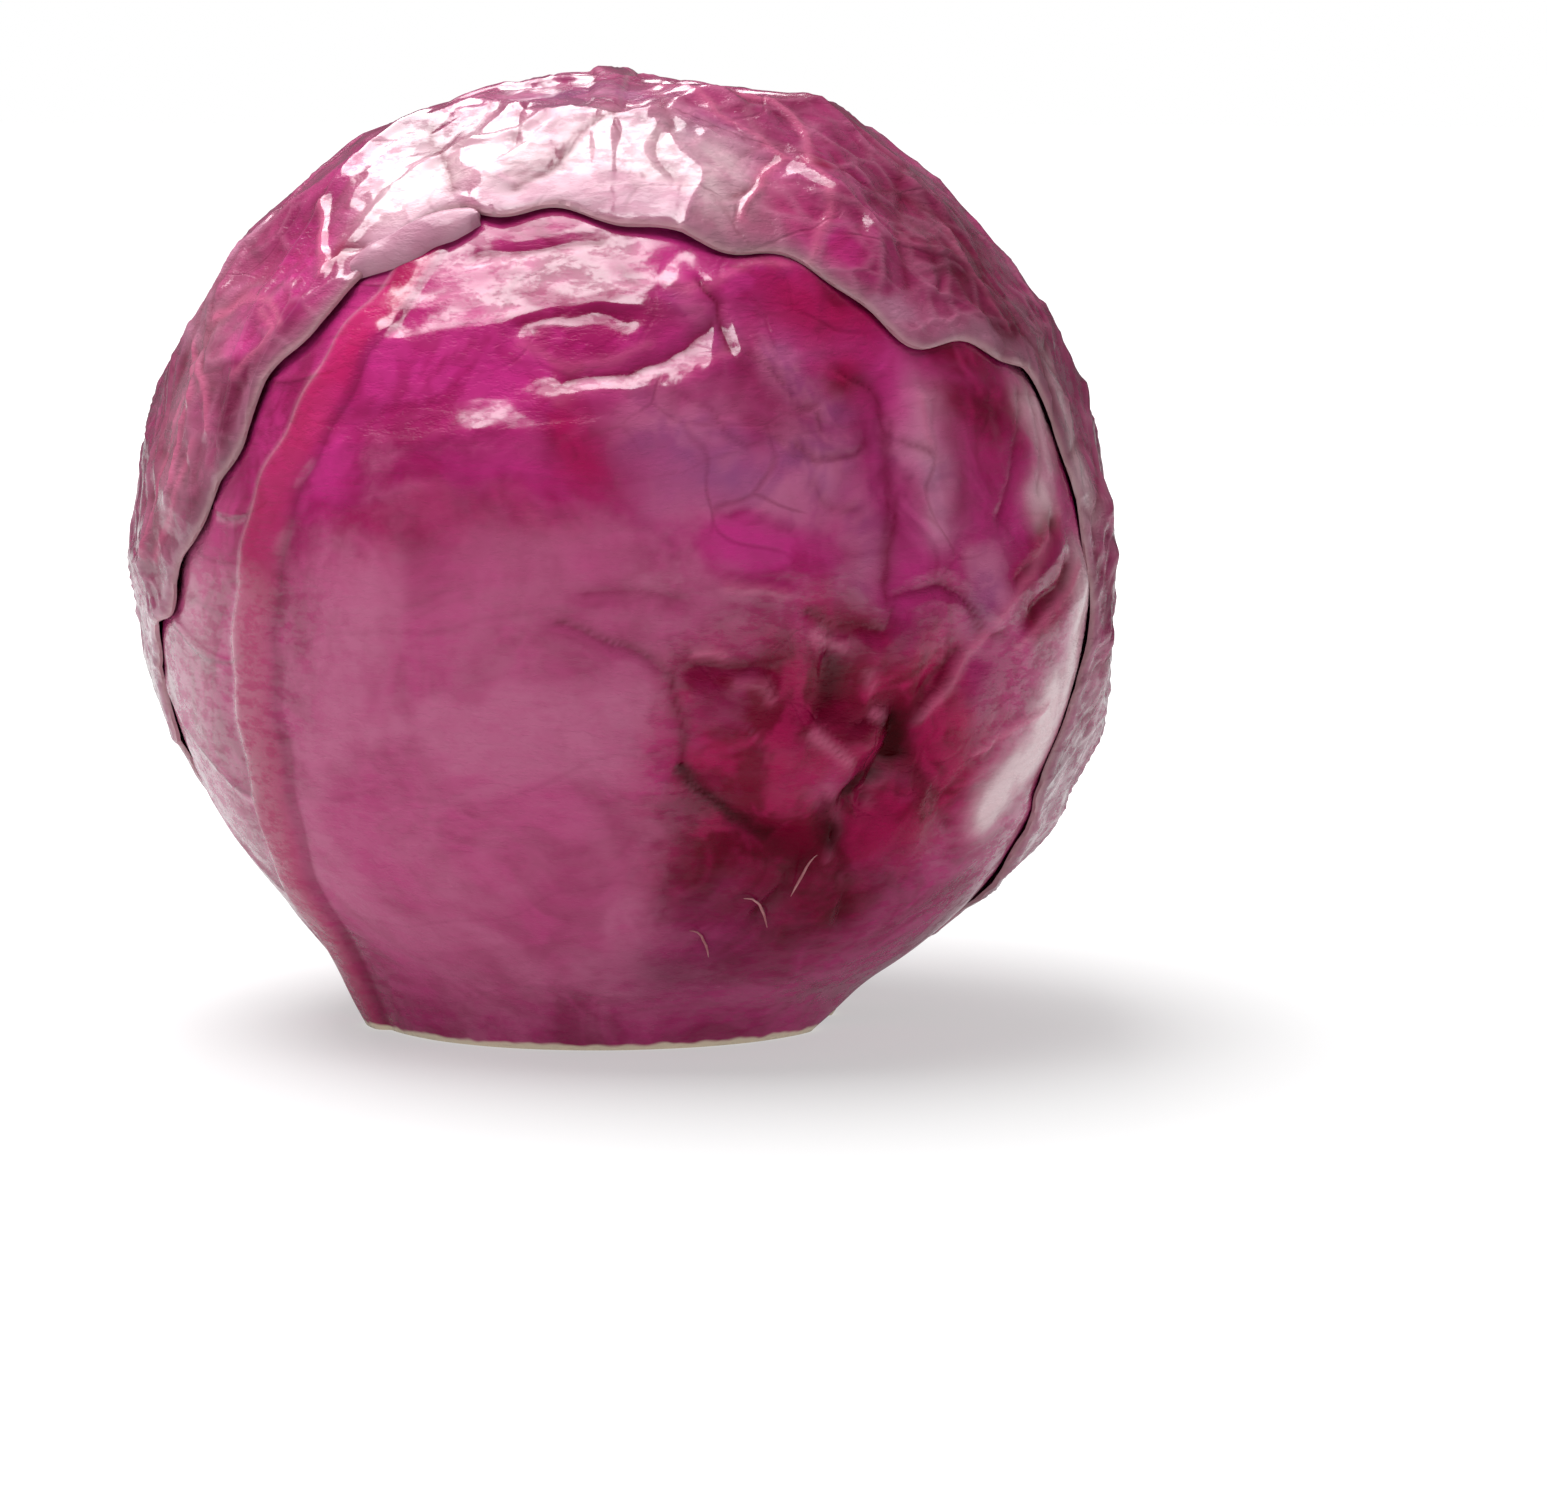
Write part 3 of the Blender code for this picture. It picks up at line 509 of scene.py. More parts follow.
FRONT = Leaf(
    "front_leaf", "wrapper_leaf", 0, 0, FRONT_OUTLINE, 0.8 * MM, (301, 271), under=(HOOD,),
    half_spans=(76 * MM, 195 * MM), rib_path=(-0.475, 0.095, -0.03), rib_width=6.2 * MM,
    rib_height=1.8 * MM, vein_height=0.8 * MM, vein_sides=(0.7, 0.12), swell=0.5 * MM,
    net_height=0.08 * MM, netted=0.0, folds=FRONT_FOLDS + FRONT_CREASES,
    crumples=(
        patch(12, 0.65, (24, -12), (30, -24), (42, -22)), patch(10, 0.4, (16, 24), (26, 18), (36, 14)),
        patch(8, 0.4, (50, 22), (60, 16)),
    ),
    wrinkles=(
        patch(3.5, 1, (-8, 22), (3, 24), (12, 27)), patch(4, 0.9, (20, 28), (22, 24)),
        patch(3, 0.7, (-7, -15), (-2, -17), (5, -15), (13, -14)), patch(14, 0.4, (24, -12), (32, -22)),
        patch(7, 0.8, (48, 22), (58, 18)),
    ),
    streaks=(patch(8, 0.7, (-34, 33), (-18, 34), (2, 35)), patch(5, 0.7, (-20, 44), (8, 45))),
    patches={
        "magenta": (
            patch(6, 1, (-36, 26), (-18, 26), (-8, 25)), patch(4, 1, (-38, 18), (-36, 13)),
            patch(2.5, 0.6, (-27, 15), (-8, 14)), patch(4.5, 0.8, (9, 42), (18, 37)),
            patch(3, 1, (-13, 31), (-7, 30), (-1, 30)), patch(2.5, 0.8, (-6, 26), (0, 26), (7, 29)),
            patch(4.5, 0.8, (34, 12), (34, 3)), patch(5, 0.7, (34, 27), (36, 20)),
            patch(3, 1, (12, 7), (16, 6), (21, 3)), patch(5, 0.9, (39, -14), (43, -17)),
            patch(5, 0.35, (30, -6)), patch(5, 0.5, (50, 10), (54, 13)),
        ),
        "cracked": (patch(15, 1, (2, 34), (20, 28), (36, 12), (14, 10), (20, -4), (36, -14), (22, -28)),),
        "bloom": (
            patch(25, 1, (-14, -4), (-25, -36)), patch(7, 1, (4, 16), (14, 13), (22, 15)),
            patch(4, 0.8, (27, 13), (27, 4)), patch(3, 0.9, (37, 21), (35, 15), (38, 8)),
            patch(4, 0.8, (20, 28), (22, 24)), patch(3, 0.8, (44, 4), (47, 0)), patch(12, 0.9, (-2, -30)),
        ),
        # Painted sheen along the right side and painted light on the left panels
        "pale": (
            patch(3, 0.22, (39, 22), (37.5, 15), (37, 9)), patch(8, 0.2, (-60, 4), (-62, -13), (-68, -34)),
            patch(3, 0.8, (61, 21), (61, 15), (58, 10)),
            patch(4, 1.5, (66, -1), (65, -8), (62, -15), (60, -21), (56, -26)),
        ),
        # The deep crimson round the hollow at the lower right is partly the leaf's own colour and partly
        # painted shadow
        "crimson": (
            patch(3, 1, (26, 26)), patch(4, 0.35, (-32, 9), (-8, 11)),
            patch(9, 1.5, (18, -13), (34, -12), (41, -23), (28, -30), (15, -28)),
            patch(8, 1.2, (12, -16), (30, -38)), patch(5, 0.8, (45, 22), (54, 20)),
            patch(2.5, 1, (59, 7), (50, 2)), patch(2.5, 1, (54, -3), (61, 0)),
            patch(3, 0.9, (22, -1), (29, -3)), patch(4, 0.8, (-7, 19), (-3, 16)),
            patch(5, 1.1, (10, -8), (10, -20)), patch(5, 0.9, (24, 35), (36, 34), (52, 28)),
        ),
        # Painted shade in the hollow and its creases, and painted shadow over the lower front
        "painted_shade": (
            patch(1.8, 1.2, (33, -13), (34, -15), (34, -18)),
            patch(2.5, 0.9, (31, -20.5), (27, -25), (28, -30)),
            patch(1.1, 0.9, (7, -20), (13, -25), (18, -28)), patch(1.3, 0.6, (24, -6), (24, -11)),
            patch(9, 0.55, (14, -35), (28, -38)), patch(7, 0.45, (8, -50), (16, -44)),
            patch(3, 0.5, (50, 20)),
        ),
        "lilac": (
            patch(6, 1, (4, 18), (14, 15), (22, 15)), patch(4, 0.9, (20, 28), (24, 23)),
            patch(4, 1.5, (38, 21), (36, 15), (36, 9)), patch(3.5, 0.6, (27, 12), (27, 3)),
            patch(3, 0.7, (46, 3), (44, -4)), patch(3, 0.5, (8, 36), (12, 30)),
        ),
    },
)
SIDE = dict(
    outline=SIDE_OUTLINE, depth=4.3 * MM, lines=(103, 103), under=(HOOD, FRONT),
    half_spans=(70 * MM, 70 * MM), rib_width=6.5 * MM, rib_height=2.4 * MM, veins=5,
)
LEFT = Leaf("left_leaf", "under_leaf", -105.5, -24, **SIDE)
RIGHT = Leaf("right_leaf", "under_leaf", 91, -24, **SIDE)


def direction(turn, height):
    """Unit vectors out of the head's middle, for angles in degrees."""
    turn, height = np.radians(turn), np.radians(height)
    level = np.cos(height)
    return np.stack([np.sin(turn) * level, -np.cos(turn) * level, np.sin(height) + 0 * turn], axis=-1)


def unit(vectors):
    return vectors / np.linalg.norm(vectors, axis=-1, keepdims=True)


def smooth_step(x, low, high):
    share = np.clip((x - low) / (high - low), 0.0, 1.0)
    return share * share * (3 - 2 * share)


def smooth_max(a, b, blend):
    near = np.maximum(blend - np.abs(a - b), 0.0) / blend
    return np.maximum(a, b) + near * near * blend / 4


def bell(off, width):
    """1 on a line, falling away over a width beside it."""
    return np.exp(-((off / width) ** 2))


def waves(out, count, pitch, seed):
    """A gentle random relief from -1 to 1 over the ball, with swells about one pitch across."""
    draw = np.random.default_rng(seed)
    axes = unit(draw.normal(size=(count, 3)))
    phases = draw.uniform(0, 2 * math.pi, count)
    turns = 2 * math.pi * BALL_RADIUS / pitch * draw.uniform(*WAVE_SPREAD, count)
    return np.sin(out @ (axes * turns[:, None]).T + phases).sum(axis=-1) / math.sqrt(2 * count)


def head_reach(out):
    """How far the outside of the closed head lies from its middle, in each direction."""
    rise = np.clip(out[..., 2], -1, 1)
    level = np.sqrt(np.maximum(1 - rise * rise, LEAST))
    turn = np.arctan2(out[..., 0], -out[..., 1])
    foot = FOOT_RADIUS + FOOT_SKEW * np.cos(turn - math.radians(FOOT_SKEW_TURN))
    foot = foot - FOOT_OVAL * np.cos(2 * turn)
    cone = (foot + FOOT_SLOPE * BALL_HEIGHT) / np.maximum(level - FOOT_SLOPE * rise, FOOT_NARROWEST)
    cone = np.where(rise < math.sin(math.radians(FOOT_TOP)), cone, 0.0)
    ball = BALL_RADIUS + LUMP * waves(out, LUMP_WAVES, LUMP_PITCH, SEED)
    for swell_turn, swell_height, rise_by, width in SWELLS:
        off = np.linalg.norm(out - direction(swell_turn, swell_height), axis=-1) * BALL_RADIUS
        ball = ball + rise_by * bell(off, width)
    return smooth_max(ball, cone, FOOT_BLEND)


def placed(out, reach):
    """The points that lie at a reach from the head's middle in each direction."""
    return out * reach[..., None] + (0, 0, BALL_HEIGHT)


def leaf_axes(leaf):
    """The leaf's middle on the ball, the way to its tip, and the way to its right, seen from outside."""
    middle = direction(leaf.turn, leaf.height)
    tip = direction(leaf.turn, leaf.height + 90)
    return middle, tip, np.cross(tip, middle)


def leaf_edge(leaf, bearing):
    """How far the leaf reaches at a bearing, both in degrees, with its softened corners and ripples."""
    whole = np.arange(360)
    reach = np.interp(whole, *zip(*leaf.outline), period=360)
    offsets = np.arange(-OUTLINE_REACH, OUTLINE_REACH + 1)
    kernel = np.exp(-0.5 * (offsets / OUTLINE_SOFTNESS) ** 2)
    reach = np.convolve(np.tile(reach, 3), kernel / kernel.sum(), "same")[360:720]
    phases = (leaf.turn, leaf.height)
    ripple = sum(np.sin(np.radians(count * bearing + phase)) for count, phase in zip(RIPPLES, phases))
    return np.interp(bearing, whole, reach, period=360) + RIPPLE * ripple


def inside_leaf(leaf, out):
    """How far inside the leaf's edge each direction lies, in metres along the ball. Outside is negative."""
    middle, tip, right = leaf_axes(leaf)
    reach = np.degrees(np.arccos(np.clip(out @ middle, -1, 1)))
    bearing = np.degrees(np.arctan2(out @ right, out @ tip)) % 360
    return np.radians(leaf_edge(leaf, bearing) - reach) * BALL_RADIUS


def leaf_places(leaf, across, along):
    """Directions out of the head's middle for a leaf's own coordinates."""
    side = np.tanh(across * SIDE_SWITCH)
    across, along = np.broadcast_arrays(across, along)
    lean = SWEEP * np.abs(across) ** SWEEP_CURVE + STAGGER / 2 * side
    y = along + lean * (1 - along * along)
    rib = leaf.rib_path[0] + leaf.rib_path[1] * y + leaf.rib_path[2] * y * y
    x = rib + across * np.where(across < 0, 1 + rib, 1 - rib)
    disc_x, disc_y = x * np.sqrt(1 - y * y / 2), y * np.sqrt(1 - x * x / 2)
    bearing = np.arctan2(disc_x, disc_y)
    reach = np.hypot(disc_x, disc_y) * np.radians(leaf_edge(leaf, np.degrees(bearing) % 360))
    middle, tip, right = leaf_axes(leaf)
    ring = np.cos(bearing)[..., None] * tip + np.sin(bearing)[..., None] * right
    return middle * np.cos(reach)[..., None] + ring * np.sin(reach)[..., None]


def from_midrib(leaf, across, along):
    """How far each place lies from the midrib, as a share of half the midrib's width there. The left is
    negative."""
    width = leaf.rib_width * (RIB_TAPER[0] - RIB_TAPER[1] * (along + 1) / 2)
    return across * np.where(across < 0, *leaf.half_spans) / width


def ribs(leaf, across, along, out):
    """The height of the midrib and the side veins over the blade."""
    towards_tip = (along + 1) / 2
    midrib = leaf.rib_height * RIB_FOOT * (1 - towards_tip) ** RIB_FALL
    midrib = midrib * np.maximum(1 - np.abs(from_midrib(leaf, across, along)) ** RIB_ROUND, 0)
    veins = np.zeros(out.shape[:2])
    for place in np.linspace(*VEIN_ENDS, leaf.veins):
        off = np.linalg.norm(out - leaf_places(leaf, across, place), axis=-1) * BALL_RADIUS
        veins = np.maximum(veins, bell(off, VEIN_HALF_WIDTH))
    fade = leaf.vein_height * np.where(across < 0, *leaf.vein_sides) * (1 - VEIN_OUTWARDS * np.abs(across))
    return np.maximum(midrib, veins * fade * (VEIN_TIPWARDS[0] - VEIN_TIPWARDS[1] * towards_tip))


def line_distance(path, out):
    """How far each direction lies from a line of places, in metres along the ball, and on which side:
    1 is above a line that runs to the right, and -1 below it."""
    nearest, upper = np.full(out.shape[:-1], np.inf), np.zeros(out.shape[:-1])
    for start, end in zip(path, path[1:] or path):
        first, last = direction(*start), direction(*end)
        run, across = last - first, np.cross(first, last)
        share = np.clip((out - first) @ run / max(run @ run, LEAST), 0, 1)
        off = np.linalg.norm(out - first - share[..., None] * run, axis=-1)
        side = out @ across / max(np.linalg.norm(across), LEAST)
        closer = off < nearest
        nearest = np.where(closer, off, nearest)
        upper = np.where(closer, np.clip(side / np.maximum(off, LEAST), -1, 1), upper)
    return nearest * BALL_RADIUS, upper


def fold_relief(folds, out):
    """How far the folds raise or sink a blade at each direction. Crossing folds don't add up."""
    raised, sunk = np.zeros(out.shape[:-1]), np.zeros(out.shape[:-1])
    for fold in folds:
        off, upper = line_distance(fold.path, out)
        width = fold.below + (fold.above - fold.below) * (0.5 + 0.5 * upper)
        relief = fold.height * np.clip(1 - off / (FOLD_FOOT * width), 0, 1) ** FOLD_CURVE
        raised, sunk = np.maximum(raised, relief), np.minimum(sunk, relief)
    return raised + sunk


def fold_finish(folds, out):
    """How much of a sharp crease, where shade is painted, and of a pale crest the folds give each direction.
    """
    crease, crest = np.zeros(out.shape[:-1]), np.zeros(out.shape[:-1])
    for fold in folds:
        if fold.height < 0:
            off = line_distance(fold.path, out)[0]
            crease = np.maximum(crease, min(-fold.height / MM, 1) * np.exp(-off / CREASE_WIDTH))
        elif fold.pale:
            off = line_distance(fold.path, out)[0]
            crest = np.maximum(crest, fold.pale * bell(off, CREASE_WIDTH))
    return crease, crest


def patch_mask(patches, out):
    """From 0 up, how much of a finish or a crumple the patches give each direction."""
    mask = np.zeros(out.shape[:-1])
    for radius, strength, path in patches:
        off = line_distance(path, out)[0]
        mask = np.maximum(mask, strength * bell(off, math.radians(radius) * BALL_RADIUS))
    return mask


def facet_relief(out, pitch, seed):
    """Flat facets about one pitch wide, the ball as cut by leaning planes: their relief, how far each
    direction lies from the nearest border between two of them, in metres, and each facet's own tone."""
    count = int(4 * math.pi * (BALL_RADIUS / pitch) ** 2)
    draw = np.random.default_rng(seed)
    step = np.arange(count) + 0.5
    rise = 1 - 2 * step / count
    turn = step * math.radians(GOLDEN_ANGLE)
    level = np.sqrt(1 - rise * rise)
    planes = np.stack([level * np.sin(turn), -level * np.cos(turn), rise], axis=-1)
    planes = unit(planes + draw.normal(scale=FACET_LEAN, size=planes.shape))
    tones = draw.uniform(0, 1, count)
    nearest, border, tone = (np.empty(out.shape[:2]) for _ in range(3))
    for i, row in enumerate(out):
        near = row @ planes.T
        nearest[i] = near.max(axis=-1)
        tone[i] = tones[near.argmax(axis=-1)]
        second = np.partition(near, -2, axis=-1)[:, -2]
        border[i] = (nearest[i] - second) * BALL_RADIUS * BALL_RADIUS / pitch
    return BALL_RADIUS * (1 / nearest - 1), border, tone


# Without a seed of its own, the noise's vectors would follow the clock
noise.seed_set(SEED)


def noised(source, out, pitch, seed):
    """A noise of about one pitch at each direction, the same on each run."""
    places = (out * BALL_RADIUS / pitch + seed).reshape(-1, 3).tolist()
    values = np.array([source(Vector(place)) for place in places])
    return values.reshape(out.shape[:-1] + values.shape[1:])


def rough(out, pitch, seed):
    """Random relief from -1 to 1 with bumps about one pitch across."""
    return noised(noise.noise, out, pitch, seed)


def wandered(out, steps, seed):
    """Directions moved a little in steps of a pitch and a reach, so that what is laid by them runs as
    unevenly as a real leaf's folds."""
    for index, (pitch, reach) in enumerate(steps):
        out = unit(out + reach / BALL_RADIUS * noised(noise.noise_vector, out, pitch, seed + index))
    return out


def cell_gap(out, pitch, seed):
    """How far each direction lies from the borders of irregular cells about one pitch across, in metres."""
    near = noised(lambda place: noise.voronoi(place)[0][:2], out, pitch, seed)
    return (near[..., 1] - near[..., 0]) * pitch / 2


def broken(out, pitch, stretch, seed):
    """A mask that leaves out random stretches, about one pitch long."""
    return smooth_step(rough(out, pitch, seed), *stretch)


def puckers(out, pitch, seed):
    """Round puckers between sharp creases, from 0 in a crease to about 1, in several sizes."""
    return sum(np.abs(rough(out, pitch / 2**k, seed + k)) / 2**k for k in range(PUCKER_SIZES))


@dataclass
class Skin:
    """A grid of points on a leaf's outer face, the inner face under it, and the finish at each point, painted
    shade and highlight among it.
    """

    outer: np.ndarray
    inner: np.ndarray
    finish: dict


def faceted_relief(leaf, laid, out):
    """The relief of a leaf's flat facets, the ridges of the net between them, and their tones."""
    kept = 1 - BACK_LOSS * smooth_step(out[..., 1], *BACK_START)
    large, large_border, large_tone = facet_relief(laid, FACET_PITCH, SEED)
    small, small_border, small_tone = facet_relief(laid, SMALL_FACET_PITCH, SMALL_FACET_SEED)
    from_edge = smooth_step(inside_leaf(leaf, out), 0, FACET_MARGIN)
    relief = (large + small * kept) * (EDGE_FACETS + (1 - EDGE_FACETS) * from_edge)
    net = np.maximum(bell(large_border, LARGE_NET_WIDTH), SMALL_NET * bell(small_border, SMALL_NET_WIDTH))
    net *= broken(out, NET_BREAK_PITCH, NET_BREAK, NET_BREAK_SEED) * kept
    return relief, net, LARGE_FACET_TONE * large_tone + (1 - LARGE_FACET_TONE) * small_tone


def leaf_relief(leaf, across, along, out, shown):
    """The leaf's broad relief and its fine relief in metres, the relief of its ribs, and the finish
    that comes with the relief."""
    rib_relief = ribs(leaf, across, along, out) * (UNDER_RELIEF + (1 - UNDER_RELIEF) * shown)
    swell = leaf.swell * (0.5 + 0.5 * waves(out, SWELL_WAVES, SWELL_PITCH, SEED + leaf.veins))
    laid = wandered(out, FOLD_WANDER, SEED)
    broad = rib_relief + shown * (swell + fold_relief(leaf.folds, laid))
    broad += leaf.lift * bell(inside_leaf(leaf, out), LIFT_REACH)
    net, tone = np.zeros(out.shape[:-1]), np.full(out.shape[:-1], 0.5)
    if leaf.faceted:
        facets, net, tone = faceted_relief(leaf, laid, out)
        broad += facets
    wrinkled = patch_mask(leaf.wrinkles, laid)
    borders = bell(cell_gap(laid, CELL_PITCH, CELL_SEED), CELL_WIDTH)
    borders *= broken(laid, CELL_BREAK_PITCH * CELL_PITCH, CELL_BREAK, CELL_SEED)
    net = np.maximum(net, (leaf.netted + WRINKLE_CELLS * wrinkled) * borders)

    # Sharp creases round puffed cells of two sizes, where the blade is crumpled
    large_crease = np.exp(-cell_gap(laid, LARGE_PUFF_PITCH, LARGE_PUFF_SEED) / LARGE_CREASE)
    small_crease = np.exp(-cell_gap(laid, SMALL_PUFF_PITCH, SMALL_PUFF_SEED) / SMALL_CREASE)
    kept = SMALL_PUFF * broken(out, PUFF_BREAK_PITCH, PUFF_BREAK, PUFF_BREAK_SEED)
    creased = np.maximum(large_crease, kept * small_crease) * patch_mask(leaf.crumples, laid)
    fine = leaf.net_height * net - leaf.crumple_depth * creased
    fine += PUCKER_DEPTH * wrinkled * (puckers(laid, PUCKER_PITCH, PUCKER_SEED) - PUCKER_MIDDLE)
    fine += ROUGH_DEPTH * rough(out, ROUGH_PITCH, ROUGH_SEED)
    streaks = patch_mask(leaf.streaks, laid)
    drawn = rough(laid * (STREAK_STRETCH, STREAK_STRETCH, 1), STREAK_PITCH, STREAK_SEED)
    fine += STREAK_DEPTH * streaks * drawn
    drawn = drawn + 0.5 * rough(laid, STREAK_BREAK_PITCH, STREAK_BREAK_SEED)
    sharp, crest = fold_finish(leaf.folds, laid)
    finish = {
        "net": net, "tone": tone, "crease": np.maximum(creased**CREASE_POWER, sharp) * shown,
        "crest": crest, "streak": streaks * smooth_step(drawn, *STREAK_BREAK),
    }
    return broad, shown * fine, rib_relief, finish


def leaf_finish(leaf, across, along, out, shown, rib_relief):
    """The masks of the leaf's patches, edges and ribs at each point, among them painted shade, painted
    highlight and sheen, and the midrib's painted lit and shaded sides.
    """
    laid = wandered(out, FINISH_WANDER, FINISH_SEED)
    finish = {name: patch_mask(patches, laid) for name, patches in (leaf.patches or {}).items()}
    inside = inside_leaf(leaf, out)
    beside = from_midrib(leaf, across, along)
    rib = (1 - smooth_step(np.abs(beside), *RIB_SIDE)) * np.clip(rib_relief / leaf.rib_height, 0, 1)
    border = smooth_step(1 - along, *RIB_BORDER_TOP)
    finish.update(
        along=along, veined=np.where(across < 0, *leaf.vein_sides) * shown,
        edge=bell(inside, EDGE_WIDTH), margin=bell(inside, MARGIN_WIDTH),
        rib=rib * (1 - leaf.faceted * (0.5 + 0.5 * smooth_step(along, *FACETED_RIB_FADE))),
        rib_lit=bell(beside - RIB_LIT_PLACE, RIB_BORDER) * border,
        rib_shade=bell(beside - RIB_SHADE_PLACE, RIB_BORDER) * border,
        rib_top=smooth_step(along, *RIB_TOP),
    )
    return finish


def leaf_skin(leaf):
    """The points of a leaf's outer and inner face and the finish over it."""
    columns, rows = leaf.lines
    left = round((columns - 1) * leaf.half_spans[0] / sum(leaf.half_spans))
    across = np.concatenate([np.linspace(-1, 0, left + 1), np.linspace(0, 1, columns - left)[1:]])
    across, along = np.broadcast_arrays(across[None, :], np.linspace(-1, 1, rows)[:, None])
    out = leaf_places(leaf, across, along)
    shown, sunk = np.ones(out.shape[:2]), np.full(out.shape[:2], leaf.depth)
    for cover in leaf.under:
        beneath = smooth_step(inside_leaf(cover, out), *UNDER_EDGE)
        sunk = sunk + max(UNDER_DEPTH - leaf.depth, 0) * beneath
        shown = shown * (1 - beneath)
    broad, fine, rib_relief, finish = leaf_relief(leaf, across, along, out, shown)
    finish.update(leaf_finish(leaf, across, along, out, shown, rib_relief))
    round_off = EDGE_ROUND * np.clip(1 - inside_leaf(leaf, out) / EDGE_REACH, 0, 1) ** 2
    reach = head_reach(out) - sunk + broad
    outer, base = placed(out, reach + fine - round_off), placed(out, reach)

    # Thickness runs straight in on the ball, and level in the foot, where it fills up to the stem
    foot = 1 - smooth_step(base[..., 2], BASE_FULL, BASE_RISE)
    foot = foot * smooth_step(1 - np.abs(across), *BASE_SIDES)
    inward = out.copy()
    inward[..., 2] *= 1 - smooth_step(-out[..., 2], *LEVEL_TURN)
    to_stem = np.hypot(base[..., 0], base[..., 1]) - STEM_RADIUS - SEAM
    thick = BLADE + RIB_BELLY * rib_relief + foot * np.maximum(to_stem - BLADE, 0)
    inner = base - unit(inward) * np.minimum(thick, np.maximum(to_stem, BLADE))[..., None]
    return Skin(outer, inner[::INNER_STEP, ::INNER_STEP], finish)


def closed_mesh(name, points, faces):
    """A closed mesh with its faces turned outwards."""
    data = bpy.data.meshes.new(name)
    data.from_pydata(points.tolist(), [], faces)
    face_out(data)
    return data


def face_out(data):
    """Turns the faces of a closed mesh outwards."""
    mesh = bmesh.new()
    mesh.from_mesh(data)
    bmesh.ops.recalc_face_normals(mesh, faces=mesh.faces)
    mesh.to_mesh(data)
    mesh.free()


def ring_faces(rows, sides):
    """The faces of a tube of rings, and of the fans that close it at two points that come after them."""
    grid = np.arange(rows * sides).reshape(rows, sides)
    ring = np.roll(grid, -1, axis=1)
    faces = np.stack([grid[:-1], ring[:-1], ring[1:], grid[1:]], axis=-1).reshape(-1, 4).tolist()
    faces += [(int(b), int(a), grid.size) for a, b in zip(grid[0], ring[0])]
    faces += [(int(a), int(b), grid.size + 1) for a, b in zip(grid[-1], ring[-1])]
    return faces


def shell_mesh(name, skin):
    """A closed shell of a fine outer face, a coarser inner one and the rim that joins them."""
    rows, columns = skin.outer.shape[:2]
    inner_rows, inner_columns = skin.inner.shape[:2]
    outside = np.arange(rows * columns).reshape(rows, columns)
    inside = rows * columns + np.arange(inner_rows * inner_columns).reshape(inner_rows, inner_columns)

    def quads(grid):
        return np.stack([grid[:-1, :-1], grid[:-1, 1:], grid[1:, 1:], grid[1:, :-1]], axis=-1).reshape(-1, 4)

    faces = quads(outside).tolist() + quads(inside)[:, ::-1].tolist()
    rim = [(0, j) for j in range(inner_columns)] + [(i, inner_columns - 1) for i in range(1, inner_rows)]
    rim += [(inner_rows - 1, j) for j in range(inner_columns - 2, -1, -1)]
    rim += [(i, 0) for i in range(inner_rows - 2, 0, -1)]
    for (i, j), (m, n) in zip(rim, rim[1:] + rim[:1]):
        steps = range(INNER_STEP, -1, -1)
        run = [outside[i * INNER_STEP + k * (m - i), j * INNER_STEP + k * (n - j)] for k in steps]
        faces.append([int(v) for v in run] + [int(inside[i, j]), int(inside[m, n])])
    data = bpy.data.meshes.new(name)
    points = np.concatenate([skin.outer.reshape(-1, 3), skin.inner.reshape(-1, 3)])
    data.from_pydata(points.tolist(), [], faces)
    for label, values in skin.finish.items():
        under = values[::INNER_STEP, ::INNER_STEP]
        hold_value(data, label, np.concatenate([values.ravel(), under.ravel()]))
    return data


def hold_value(data, label, values):
    """Gives a mesh a value at each of its points."""
    layer = data.attributes.new(label, "FLOAT", "POINT")
    layer.data.foreach_set("value", np.broadcast_to(values, len(data.vertices)).astype(np.float32))


def cut_flush(data):
    """Cuts a closed mesh off level with the table and closes the cut with faces of the second material."""
    mesh = bmesh.new()
    mesh.from_mesh(data)
    whole = mesh.verts[:] + mesh.edges[:] + mesh.faces[:]
    cut = bmesh.ops.bisect_plane(mesh, geom=whole, plane_co=(0, 0, 0), plane_no=(0, 0, 1), clear_inner=True)
    edges = [e for e in cut["geom_cut"] if isinstance(e, bmesh.types.BMEdge)]
    caps = bmesh.ops.holes_fill(mesh, edges=edges, sides=0)["faces"]
    for face in caps:
        face.material_index = 1
    bmesh.ops.triangulate(mesh, faces=caps)
    bmesh.ops.recalc_face_normals(mesh, faces=mesh.faces)
    mesh.to_mesh(data)
    mesh.free()


def add_piece(name, data, slot, materials, *nodes):
    """Links a finished mesh as a piece that stands for CAD nodes."""
    for finish in materials:
        data.materials.append(finish)
    data.shade_smooth()
    data.set_sharp_from_angle(angle=math.radians(SHARP_ANGLE))
    piece = bpy.data.objects.new(name, data)
    bpy.context.scene.collection.objects.link(piece)
    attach(piece, "root")
    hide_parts(*nodes)


def add_leaf(leaf, materials):
    data = shell_mesh(leaf.name, leaf_skin(leaf))
    cut_flush(data)
    add_piece(leaf.name + "_skin", data, leaf.slot, materials, leaf.name)


